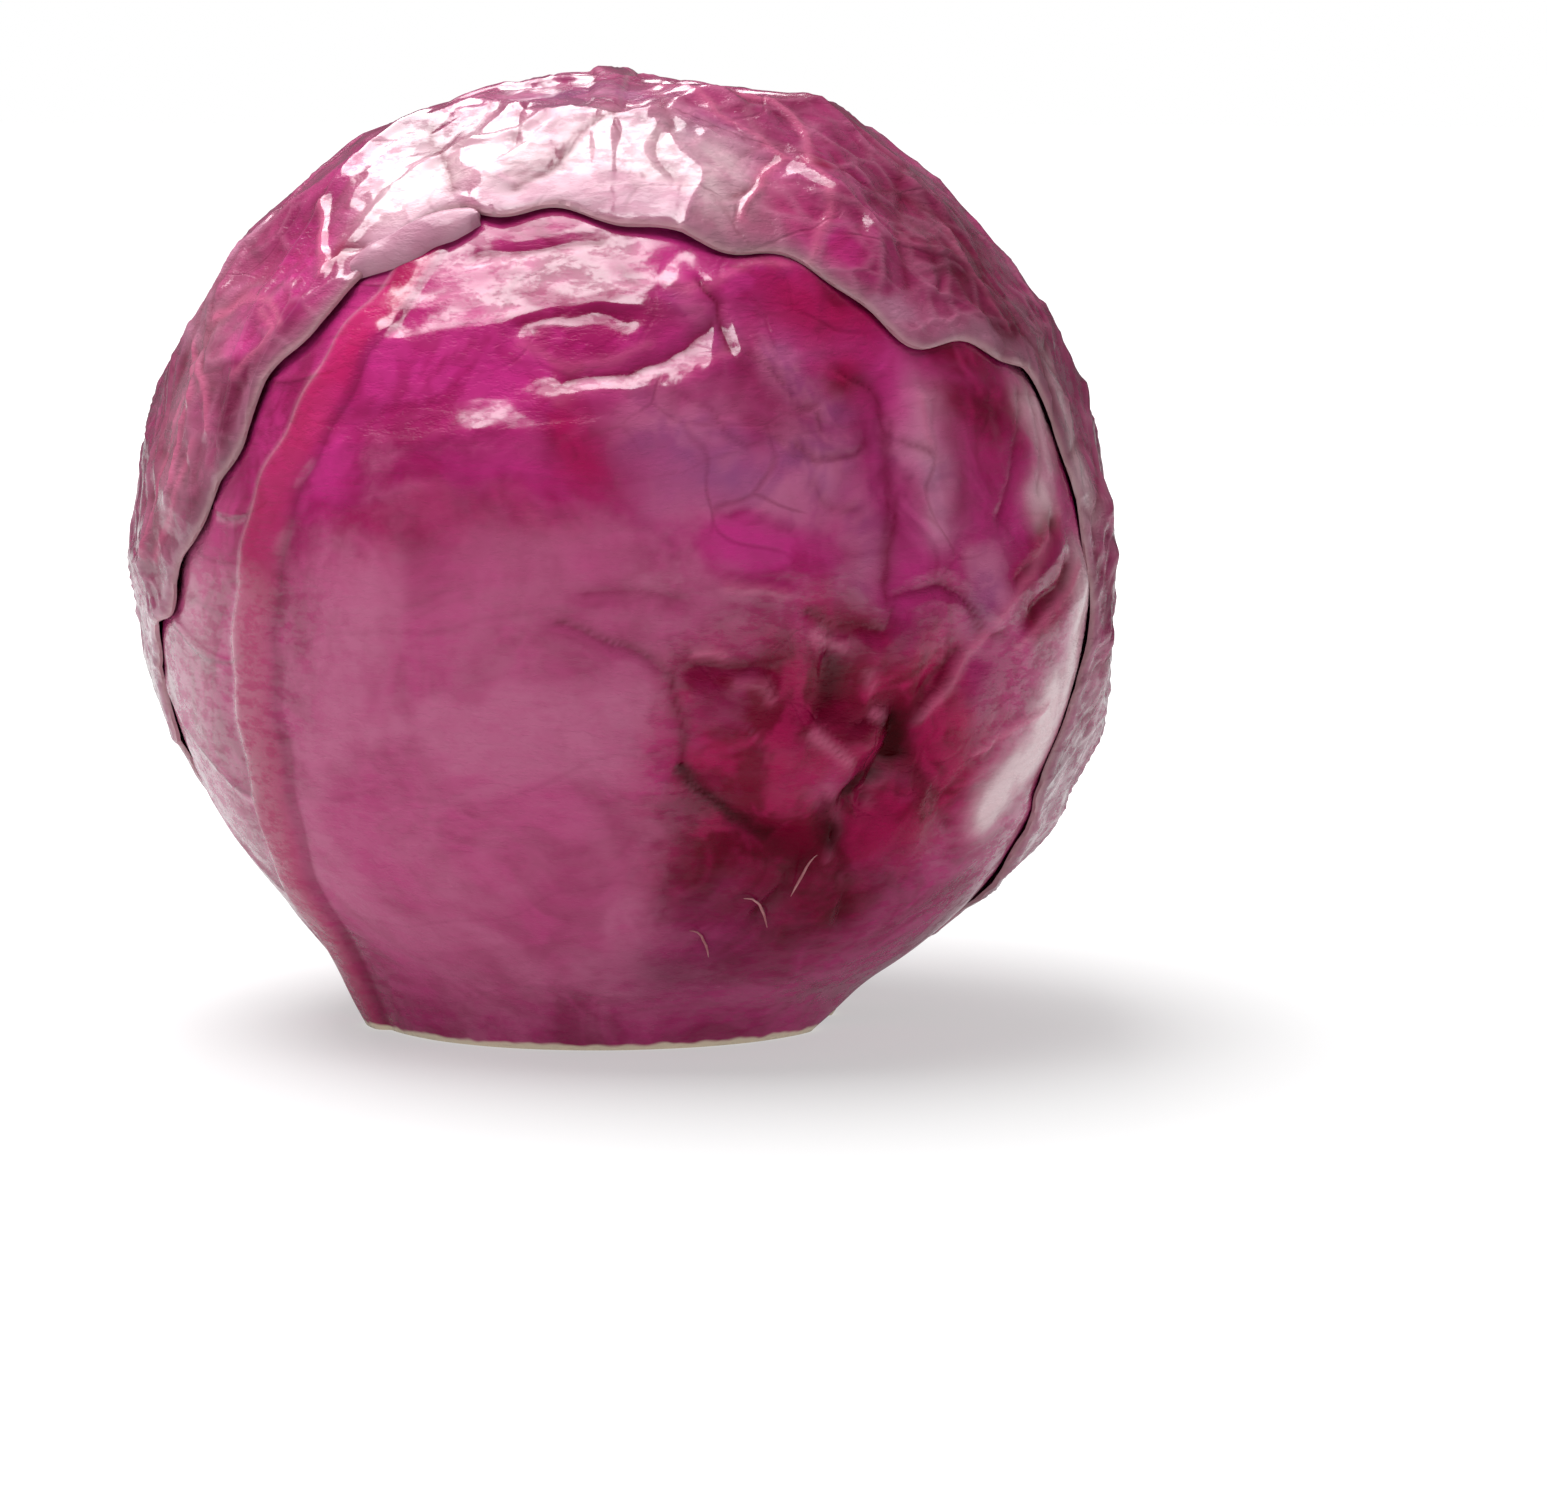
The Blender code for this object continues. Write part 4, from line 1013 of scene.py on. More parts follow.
def add_lip(materials):
    """The strip of the hood's edge below its split, rolled under and round at its free end."""
    steps, marks = np.linspace(0, 1, LIP_ROWS), np.linspace(0, 1, len(LIP_LINE))
    kernel = np.ones(2 * LIP_SOFTNESS + 1) / (2 * LIP_SOFTNESS + 1)
    turns, heights, widths, rises = (
        np.convolve(np.pad(np.interp(steps, marks, values), LIP_SOFTNESS, "edge"), kernel, "valid")
        for values in (*zip(*LIP_LINE), LIP_WIDTHS, LIP_RISES)
    )
    line = direction(turns, heights)
    up = unit(np.cross(line, np.gradient(line, axis=0)))
    angles = np.linspace(0, 2 * math.pi, LIP_SIDES, endpoint=False)
    half = widths[:, None] / 2 * MM * np.cos(angles)
    sideways = unit(line[:, None] + half[..., None] / BALL_RADIUS * up[:, None])
    bulge = np.sin(angles) * np.where(np.sin(angles) < 0, LIP_BACK, 1)
    lower = np.clip(-np.cos(angles), 0, 1) ** 2
    reach = head_reach(sideways) + rises[:, None] * MM + LIP_BULGE * bulge - LIP_TUCK * lower
    reach += LIP_ROUGH * rough(sideways, LIP_ROUGH_PITCH, LIP_SEED)
    points = placed(sideways, reach)
    ends = [points[0].mean(axis=0), points[-1].mean(axis=0)]
    points = np.concatenate([points.reshape(-1, 3), ends])
    data = closed_mesh("hood_lip", points, ring_faces(LIP_ROWS, LIP_SIDES))
    for label, value in LIP_FINISH.items():
        hold_value(data, label, value)
    add_piece("hood_lip", data, "hood_leaf", materials, "hood_leaf")


def heart_reach(out):
    """The heart's surface, stepped where each closed leaf lies over the ones inside it."""
    reach = head_reach(out) - HEART_DEPTH
    for i in range(HEART_LEAVES):
        middle = direction(i * GOLDEN_ANGLE, HEART_TILT[0] + HEART_TILT[1] * i)
        away = np.degrees(np.arccos(np.clip(out @ middle, -1, 1)))
        away += HEART_WAVER * waves(out, HEART_WAVES, HEART_WAVE, HEART_LEAF_SEED + i)
        reach += (HEART_STEP if i % 2 else -HEART_STEP) / 2 * (1 - smooth_step(away, *HEART_EDGE))
    reach += HEART_ROUGH * waves(out, HEART_ROUGH_WAVES, HEART_ROUGH_PITCH, HEART_SEED)
    floor = (BALL_HEIGHT - HEART_FLOOR) / np.maximum(-out[..., 2], SLOPE_LEAST)
    return -smooth_max(-reach, -floor, FOOT_BLEND)


def add_heart(materials):
    """The closed inner leaves as one closed mesh, with a socket for the core."""
    core = [(radius * MM + SOCKET_GAP, height * MM) for radius, height in STEM_PROFILE]
    radii, heights = zip(*core)
    mouth = np.interp(HEART_FLOOR, heights, radii)
    lowest = -math.degrees(math.atan2(BALL_HEIGHT - HEART_FLOOR, mouth))
    turns = np.linspace(-180, 180, HEART_SIDES, endpoint=False)
    out = direction(turns[None, :], np.linspace(90, lowest, HEART_RINGS + 1)[1:, None])
    rings = list(placed(out, heart_reach(out)))
    around = direction(turns, 0)
    rings += [around * radius + (0, 0, height) for radius, height in core if height > HEART_FLOOR]
    top = direction(0, 90)[None]
    points = [*rings, placed(top, heart_reach(top)), [(0, 0, heights[-1] + SOCKET_GAP)]]
    data = closed_mesh("heart_leaves", np.concatenate(points), ring_faces(len(rings), HEART_SIDES))
    add_piece("heart_leaves", data, "inner_leaf", materials, "heart")


class Value:
    """What a node puts out. It is added, subtracted, multiplied and divided as a number is."""

    def __init__(self, socket):
        self.socket = socket

    def __add__(self, other):
        return calc("ADD", self, other)

    def __sub__(self, other):
        return calc("SUBTRACT", self, other)

    def __rsub__(self, other):
        return calc("SUBTRACT", other, self)

    def __mul__(self, other):
        return calc("MULTIPLY", self, other)

    def __truediv__(self, other):
        return calc("DIVIDE", self, other)

    def held(self):
        """The same result of a sum, kept between 0 and 1."""
        self.socket.node.use_clamp = True
        return self

    def beside(self, output):
        """Another thing that the same node puts out."""
        return Value(self.socket.node.outputs[output])

    def feed(self, socket):
        self.socket.id_data.links.new(self.socket, socket)


def add_node(tree, kind, inputs=None, output=0, **settings):
    """What a node puts out, with its settings made and each input linked to a value or set to a number."""
    made = tree.nodes.new(kind)
    for name, value in settings.items():
        setattr(made, name, value)
    for key, value in (inputs or {}).items():
        if isinstance(value, Value):
            value.feed(made.inputs[key])
        else:
            made.inputs[key].default_value = value
    return Value(made.outputs[output])


def tree_of(*values):
    """The node tree that the values are in."""
    return next(value.socket.id_data for value in values if isinstance(value, Value))


def calc(operation, *values):
    return add_node(tree_of(*values), "ShaderNodeMath", dict(enumerate(values)), operation=operation)


def most(first, *others):
    """The greatest of some values."""
    for other in others:
        first = calc("MAXIMUM", first, other)
    return first


def blended(share, low, high):
    """A colour between two others, each a value or linear RGB."""
    low, high = (colour if isinstance(colour, Value) else (*colour, 1.0) for colour in (low, high))
    return add_node(tree_of(share), "ShaderNodeMix", {0: share, 6: low, 7: high}, 2, data_type="RGBA")


def ranged(value, low, high, to_low=0.0, to_high=1.0):
    """A value's range from low to high, stretched softly over another."""
    inputs = {"Value": value, "From Min": low, "From Max": high, "To Min": to_low, "To Max": to_high}
    return add_node(tree_of(value), "ShaderNodeMapRange", inputs, interpolation_type="SMOOTHSTEP")


def noise_node(place, scale, detail=4.0, roughness=0.55, bend=0.0, output="Fac"):
    """A noise with so many swells in a metre, finer ones within them, and a bend."""
    inputs = {"Vector": place, "Scale": scale, "Detail": detail, "Roughness": roughness, "Distortion": bend}
    return add_node(tree_of(place), "ShaderNodeTexNoise", inputs, output)


def drawn_out(place, scale):
    return add_node(tree_of(place), "ShaderNodeMapping", {"Vector": place, "Scale": scale})


def vector_math(operation, inputs, output=0):
    return add_node(tree_of(*inputs.values()), "ShaderNodeVectorMath", inputs, output, operation=operation)


def length_of(place):
    return vector_math("LENGTH", {0: place}, "Value")


def vector_of(x, y, z):
    return add_node(tree_of(x, y, z), "ShaderNodeCombineXYZ", {0: x, 1: y, 2: z})


def new_tree(kind, name, inputs, outputs):
    """An empty node group, what comes in by name, and the sockets that its results go to."""
    tree = bpy.data.node_groups.new(name, kind)
    for side, sockets in (("INPUT", inputs), ("OUTPUT", outputs)):
        for label, holds in sockets.items():
            tree.interface.new_socket(label, in_out=side, socket_type="NodeSocket" + holds)
    inside = tree.nodes.new("NodeGroupInput").outputs
    given = {socket.name: Value(socket) for socket in inside if socket.name in inputs}
    return tree, given, tree.nodes.new("NodeGroupOutput").inputs


def new_material(name):
    """A new material, where each point lies on the piece, and the sockets of its shader."""
    made = bpy.data.materials.new(name)
    made.use_nodes = True
    place = add_node(made.node_tree, "ShaderNodeTexCoord", None, "Object")
    return made, place, made.node_tree.nodes["Principled BSDF"].inputs


def bump(height, strength, distance, skin):
    """Gives the skin a relief."""
    inputs = {"Height": height, "Strength": strength, "Distance": distance}
    add_node(tree_of(height), "ShaderNodeBump", inputs).feed(skin["Normal"])


# The wax: clouds and specks of it, how thin it is in places, and where it is smeared
WAX_CLOUDS = (55.0, 3.0, 0.62, 0.4)
WAX_SPECKS = (420.0, 2.0, 0.6)
WAX_THIN = (24.0, 2.0, 0.65, 1.2)
WAX_SMEARS = (240.0, 2.0, 0.7)
CLOUD_SHARE = 0.75
SPECK_SHARE = 0.25
WAX_START = 0.92
WAX_SPREAD = 0.75
WAX_EDGE = (-0.24, 0.16)
WAX_THIN_RANGE = (0.34, 0.6, 0.4, 1.0)
WAX_SMEAR_RANGE = (0.3, 0.6, 0.82, 1.0)


def wax_bloom_group():
    """The matte wax that dulls a leaf's colour, rubbed off in specks and streaks."""
    tree, given, made = new_tree(
        "ShaderNodeTree", "wax bloom",
        {"Vector": "Vector", "Colour": "Color", "Wax": "Color", "Amount": "Float"},
        {"Colour": "Color", "Mask": "Float"},
    )
    place = given["Vector"]
    patches = noise_node(place, *WAX_CLOUDS) * CLOUD_SHARE + noise_node(place, *WAX_SPECKS) * SPECK_SHARE
    mask = ranged(patches - (WAX_START - given["Amount"] * WAX_SPREAD), *WAX_EDGE)
    thin = ranged(noise_node(place, *WAX_THIN), *WAX_THIN_RANGE)
    share = mask * thin * ranged(noise_node(place, *WAX_SMEARS), *WAX_SMEAR_RANGE)
    blended(share, given["Colour"], given["Wax"]).feed(made["Colour"])
    mask.feed(made["Mask"])
    return tree


# The side veins: how they wander, where they are broken, and the smaller veins between them
VEIN_WANDER = (70.0, 1.0)
VEIN_WANDER_REACH = 0.05
VEIN_BREAKS = (45.0, 2.0)
VEIN_BREAK_RANGE = (0.4, 0.55)
VEIN_LINE = 0.03
MINOR_VEINS = 3.0
MINOR_STRENGTH = 0.5


def vein_group():
    """Thin lines along a leaf's side veins and the smaller veins between them."""
    tree, given, made = new_tree(
        "ShaderNodeTree", "side veins",
        {"Vector": "Vector", "Along": "Float", "Pairs": "Float", "Width": "Float"}, {"Mask": "Float"},
    )
    place = given["Vector"]
    wander = (noise_node(place, *VEIN_WANDER) - 0.5) * VEIN_WANDER_REACH
    share = (given["Along"] + wander - VEIN_ENDS[0]) / (VEIN_ENDS[1] - VEIN_ENDS[0])
    row = share * (given["Pairs"] - 1.0)

    def lines(times, strength):
        off = calc("ABSOLUTE", calc("FRACT", row * times + 0.5) - 0.5)
        return (1.0 - off / (given["Width"] * times)).held() * strength

    minor = lines(MINOR_VEINS, MINOR_STRENGTH) * ranged(noise_node(place, *VEIN_BREAKS), *VEIN_BREAK_RANGE)
    most(lines(1.0, 1.0), minor).feed(made["Mask"])
    return tree


# The grain: the bends and breaks of the cracks, the cracks themselves, the specks and the pores
CRACK_BENDS = (50.0, 1.0, 0.5)
CRACK_BEND_REACH = 0.022
CRACK_CELLS = 64.0
CRACK_WIDTH = (0.0, 0.045, 1.0, 0.0)
CRACK_BREAKS = (0.42, 0.56)
SPECK_STRETCH = (0.45, 0.45, 1.0)
SPECKS = (520.0, 3.0, 0.7)
SPECK_RANGE = (0.36, 0.6)
SPECK_HEIGHT = 0.7
PORES = (700.0, 1.0, 0.6)


def grain_group():
    """The height of a leaf's skin, its fine branching cracks, and the level specks that break its shine."""
    tree, given, made = new_tree(
        "ShaderNodeTree", "leaf grain", {"Vector": "Vector", "Leather": "Float", "Cracked": "Float"},
        {"Height": "Float", "Cracks": "Float", "Specks": "Float"},
    )
    place = given["Vector"]
    bends = noise_node(place, *CRACK_BENDS)
    shares = {0: CRACK_BEND_REACH, 4: place, 5: bends.beside("Color")}
    moved = add_node(tree, "ShaderNodeMix", shares, 1, data_type="VECTOR")
    cells = {"Vector": moved, "Scale": CRACK_CELLS}
    border = add_node(tree, "ShaderNodeTexVoronoi", cells, "Distance", feature="DISTANCE_TO_EDGE")
    cracks = ranged(border, *CRACK_WIDTH) * ranged(bends, *CRACK_BREAKS) * given["Cracked"]
    specks = ranged(noise_node(drawn_out(place, SPECK_STRETCH), *SPECKS), *SPECK_RANGE)
    pores = noise_node(place, *PORES) * given["Leather"]
    (specks * SPECK_HEIGHT + pores - cracks).feed(made["Height"])
    cracks.feed(made["Cracks"])
    specks.feed(made["Specks"])
    return tree


GROUPS = {"wax": wax_bloom_group(), "veins": vein_group(), "grain": grain_group()}


def place_group(name, inputs):
    return add_node(tree_of(*inputs.values()), "ShaderNodeGroup", inputs, node_tree=GROUPS[name])


@dataclass
class LeafFinish:
    """Colours of a leaf, each linear RGB, and how rough, veined and grained it is."""

    name: str
    deep: tuple
    body: tuple
    wax: tuple
    veins: tuple
    net: tuple
    vein_pairs: float
    vein_strength: float
    bloom_base: float
    leather: float
    gloss: float
    net_strength: float = 0.4
    margin_strength: float = 0.5


MAGENTA = (0.58, 0.028, 0.235)
MAGENTA_DEEP = (0.38, 0.010, 0.12)
CRIMSON = (0.17, 0.001, 0.022)
CRIMSON_LIT = (0.35, 0.006, 0.070)
RIB_HIGH = (0.62, 0.002, 0.072)
RIB_LOW = (0.37, 0.031, 0.105)
LILAC = (0.48, 0.14, 0.28)
VIOLET = (0.27, 0.065, 0.20)
# Painted highlight and sheen, painted deep shade in hollows and painted shadow, and painted shade in creases
# and on the midrib's shaded side
PAINTED_HIGHLIGHT_PINK = (0.78, 0.56, 0.60)
PAINTED_DEEP_SHADE = (0.045, 0.0005, 0.003)
PAINTED_SHADE_WINE = (0.13, 0.002, 0.018)
CREST_PINK = (0.60, 0.13, 0.25)
MARGIN_LILAC = (0.40, 0.22, 0.28)
EDGE_PALE = (0.62, 0.42, 0.40)
CREAM = (0.80, 0.70, 0.52)

# Patches of strong colour: the colour, another that it shades into, and how strong it is at most
TINTS = {
    "lilac": (LILAC, VIOLET, 0.85),
    "magenta": (MAGENTA, MAGENTA_DEEP, 0.85),
    "crimson": (CRIMSON, CRIMSON_LIT, 1.0),
}
MOTTLE = (62.0, 3.0, 0.72, 0.8)
MOTTLE_RANGE = (0.36, 0.64)
MOTTLE_SHARE = 0.6
TONE_MIDDLE = 0.2
TONE_SHARE = 0.65
UNEVEN = (90.0, 3.0, 0.65)
UNEVEN_RANGE = (0.3, 0.6, 0.6, 1.0)
SHADES = (70.0, 3.0, 0.7, 0.5)
SHADE_RANGE = (0.42, 0.58)
WAX_LEFT_OFF = 0.7
# The painted highlight and sheen, broken into drawn-out streaks
HIGHLIGHT_STRETCH = (1.0, 1.0, 0.35)
HIGHLIGHT_STREAKS = (120.0, 3.0, 0.6)
HIGHLIGHT_RANGE = (0.3, 0.62, 0.45, 0.9)
RIB_COVER = 0.92
RIB_LIT = 0.2
RIB_SHADE = 0.4
# How strongly painted shade darkens creases and fine cracks, and then how strongly crests are paled
CREASE_SHADE_COVER = 0.95
CRACK_SHADE_COVER = 0.3
CREST_COVER = 0.75
# The painted shade of hollows and the painted shadow, broken into clouds
PAINTED_SHADE_CLOUDS = (110.0, 3.0, 0.6)
PAINTED_SHADE_RANGE = (0.3, 0.6, 0.8, 1.1)
EDGE_COVER = 0.35

# The pale fringe that the knife leaves at the foot, by height above the table
FRINGE = (260.0, 1.0)
FRINGE_REACH = -0.0016
FRINGE_RANGE = (-0.0002, 0.0005, 0.9, 0.0)

# The shine: what dulls it, and by how much
ROUGH_SPOTS = (170.0, 2.0, 0.6)
WAX_ROUGHNESS = 0.16
SPOT_ROUGHNESS = 0.12
SPOT_MIDDLE = 0.06
SKIN_BUMP = (0.6, 0.00022)
WAX_DULLS = 0.7
CRIMSON_DULLS = 0.68
STREAK_DULLS = 0.85
SHINE_RANGE = (0.0, 1.0, 0.4, 1.0)
COAT_ROUGHNESS = 0.13
COAT_IOR = 1.75
UNDER_COAT_SHINE = 0.06


def leaf_material(finish):
    """A leaf's skin: its mottled colour under wax, its patches, veins and ribs, its creases and edges,
    and the shine that these break. Shade is painted into its creases, cracks and hollows, a shadow
    over its lower front, and highlight and sheen onto its lit places."""
    made, place, skin = new_material(finish.name)

    def held_value(name):
        """A value that the mesh holds at each of its points."""
        return add_node(made.node_tree, "ShaderNodeAttribute", None, "Fac", attribute_name=name)

    mottle = ranged(noise_node(place, *MOTTLE), *MOTTLE_RANGE) * MOTTLE_SHARE
    toned = (mottle + (held_value("tone") - TONE_MIDDLE) * TONE_SHARE).held()
    strong = most(held_value("crimson"), held_value("magenta"))
    amount = (held_value("bloom") + finish.bloom_base - strong * WAX_LEFT_OFF).held()
    body = blended(toned, finish.deep, finish.body)
    waxed = place_group("wax", {"Vector": place, "Colour": body, "Wax": (*finish.wax, 1.0), "Amount": amount})
    wax_mask, colour = waxed.beside("Mask"), waxed
    uneven = ranged(noise_node(place, *UNEVEN), *UNEVEN_RANGE)
    shade = ranged(noise_node(place, *SHADES), *SHADE_RANGE)
    for name, (tint, other, strength) in TINTS.items():
        share = (held_value(name) * uneven * strength).held()
        colour = blended(share, colour, blended(shade, tint, other))
    streaks = noise_node(drawn_out(place, HIGHLIGHT_STRETCH), *HIGHLIGHT_STREAKS)
    veins = place_group("veins", {
        "Vector": place, "Along": held_value("along"), "Pairs": finish.vein_pairs, "Width": VEIN_LINE})
    grain = place_group("grain", {
        "Vector": place, "Leather": finish.leather, "Cracked": held_value("cracked")})
    # Painted shade in creases and fine cracks
    crease = most((held_value("crease") * CREASE_SHADE_COVER).held(), grain.beside("Cracks") * CRACK_SHADE_COVER)
    # Painted shade of hollows and painted shadow, in clouds
    painted_shade = (held_value("painted_shade") * ranged(noise_node(place, *PAINTED_SHADE_CLOUDS), *PAINTED_SHADE_RANGE)).held()
    level = add_node(made.node_tree, "ShaderNodeSeparateXYZ", {"Vector": place}, "Z")
    fringe = ranged(level + noise_node(place, *FRINGE) * FRINGE_REACH, *FRINGE_RANGE)
    # Covers laid over the colour, among them painted highlight, sheen, shade and shadow
    for share, cover in (
        # Painted highlight and sheen
        ((held_value("pale") * ranged(streaks, *HIGHLIGHT_RANGE)).held(), PAINTED_HIGHLIGHT_PINK),
        # Vein lines; on the front leaf they are painted shade in the grooves
        (veins * finish.vein_strength * held_value("veined"), finish.veins),
        (held_value("net") * finish.net_strength, finish.net),
        (held_value("rib") * RIB_COVER, blended(held_value("rib_top"), RIB_LOW, RIB_HIGH)),
        # The midrib's painted lit side and painted shaded side
        (held_value("rib_lit") * RIB_LIT, PAINTED_HIGHLIGHT_PINK),
        (held_value("rib_shade") * RIB_SHADE, PAINTED_SHADE_WINE),
        # Painted shade in creases and cracks
        (crease, PAINTED_SHADE_WINE),
        ((held_value("crest") * CREST_COVER).held(), CREST_PINK),
        # Painted shade and painted shadow
        (painted_shade, PAINTED_DEEP_SHADE),
        (held_value("margin") * finish.margin_strength, MARGIN_LILAC),
        (held_value("edge") * EDGE_COVER, EDGE_PALE),
        (fringe, CREAM),
    ):
        colour = blended(share, colour, cover)
    colour.feed(skin["Base Color"])

    roughness = wax_mask * WAX_ROUGHNESS + noise_node(place, *ROUGH_SPOTS) * SPOT_ROUGHNESS
    (roughness + (finish.gloss - SPOT_MIDDLE)).held().feed(skin["Roughness"])
    bump(grain, *SKIN_BUMP, skin)
    dull = most(painted_shade, crease, wax_mask * WAX_DULLS, held_value("crimson") * CRIMSON_DULLS,
                held_value("streak") * STREAK_DULLS)
    ((1.0 - dull).held() * ranged(grain.beside("Specks"), *SHINE_RANGE)).feed(skin["Coat Weight"])
    skin["Coat Roughness"].default_value = COAT_ROUGHNESS
    skin["Coat IOR"].default_value = COAT_IOR
    skin["Specular IOR Level"].default_value = UNDER_COAT_SHINE
    return made


# The cut flesh: its clouds, its rings of bundles and the blush towards its rim
FLESH_DARK = (0.62, 0.50, 0.36)
FLESH_LIGHT = (0.80, 0.72, 0.56)
BUNDLE_BROWN = (0.55, 0.38, 0.30)
FLESH_BLUSH = (0.55, 0.26, 0.30)
FLESH_CLOUDS = (70.0, 6.0, 0.6)
FLESH_CLOUD_RANGE = (0.35, 0.68)
RING_WAVER = 0.002
RING_WAVER_SCALE = 120.0
RING_STEP = 2600.0
RING_RANGE = (0.2, 1.0, 0.0, 0.25)
BLUSH_RANGE = (0.022, 0.040, 0.0, 0.65)
FLESH_ROUGH_SCALE = 300.0
FLESH_ROUGH_RANGE = (0.3, 0.7, 0.42, 0.68)
FLESH_FIBRES = (900.0, 4.0, 0.65)
FLESH_BUMP = (0.5, 0.0002)


def flesh_material():
    """The pale cut flesh of the stem and of the leaf bases, with darker bundles and a browned rim."""
    made, place, skin = new_material("cut_flesh")
    cloud = ranged(noise_node(place, *FLESH_CLOUDS), *FLESH_CLOUD_RANGE)
    out = length_of(drawn_out(place, (1.0, 1.0, 0.0)))
    rings = calc("SINE", (out + noise_node(place, RING_WAVER_SCALE) * RING_WAVER) * RING_STEP)
    colour = blended(cloud, FLESH_DARK, FLESH_LIGHT)
    colour = blended(ranged(rings, *RING_RANGE), colour, BUNDLE_BROWN)
    blended(ranged(out, *BLUSH_RANGE), colour, FLESH_BLUSH).feed(skin["Base Color"])
    ranged(noise_node(place, FLESH_ROUGH_SCALE), *FLESH_ROUGH_RANGE).feed(skin["Roughness"])
    bump(noise_node(place, *FLESH_FIBRES), *FLESH_BUMP, skin)
    return made


STRAND_DARK = (0.36, 0.10, 0.12)
STRAND_LIGHT = (0.50, 0.22, 0.23)
STRAND_CLOUDS = (180.0, 3.0, 0.6)
STRAND_CLOUD_RANGE = (0.35, 0.65)
STRAND_ROUGHNESS = 0.5


def pale_material():
    """The dry pale skin of loose strands."""
    made, place, skin = new_material("pale_strand")
    cloud = ranged(noise_node(place, *STRAND_CLOUDS), *STRAND_CLOUD_RANGE)
    blended(cloud, STRAND_DARK, STRAND_LIGHT).feed(skin["Base Color"])
    skin["Roughness"].default_value = STRAND_ROUGHNESS
    return made


HOOD_FINISH = LeafFinish(
    "hood_skin", deep=(0.16, 0.008, 0.050), body=(0.37, 0.042, 0.145), wax=(0.38, 0.14, 0.23),
    veins=(0.50, 0.18, 0.30), net=(0.56, 0.20, 0.32), vein_pairs=8.0, vein_strength=0.15,
    bloom_base=0.08, leather=0.35, gloss=0.25, net_strength=0.45, margin_strength=0.38,
)
# The front leaf's dark vein lines are painted shade in the grooves along its side veins
FRONT_FINISH = LeafFinish(
    "front_skin", deep=(0.22, 0.006, 0.058), body=(0.48, 0.030, 0.185), wax=(0.48, 0.112, 0.235),
    veins=(0.16, 0.006, 0.045), net=(0.46, 0.10, 0.23), vein_pairs=8.0, vein_strength=0.9,
    bloom_base=0.10, leather=0.12, gloss=0.24,
)
SIDE_FINISH = LeafFinish(
    "side_skin", deep=(0.30, 0.06, 0.13), body=(0.46, 0.17, 0.25), wax=(0.50, 0.30, 0.34),
    veins=(0.22, 0.02, 0.08), net=(0.60, 0.36, 0.42), vein_pairs=5.0, vein_strength=0.5,
    bloom_base=0.35, leather=0.2, gloss=0.34,
)


def new_geometry_tree(name, inputs):
    """An empty Geometry Nodes tree with named inputs, the geometry and the material among them."""
    inputs = {"Geometry": "Geometry", **inputs, "Material": "Material"}
    return new_tree("GeometryNodeTree", name, inputs, {"Geometry": "Geometry"})


def end_tree(tree, given, made, geometry):
    """Ends a tree with real geometry in its own material."""
    real = add_node(tree, "GeometryNodeRealizeInstances", {"Geometry": geometry})
    finished = {"Geometry": real, "Material": given["Material"]}
    add_node(tree, "GeometryNodeSetMaterial", finished).feed(made["Geometry"])
    return tree


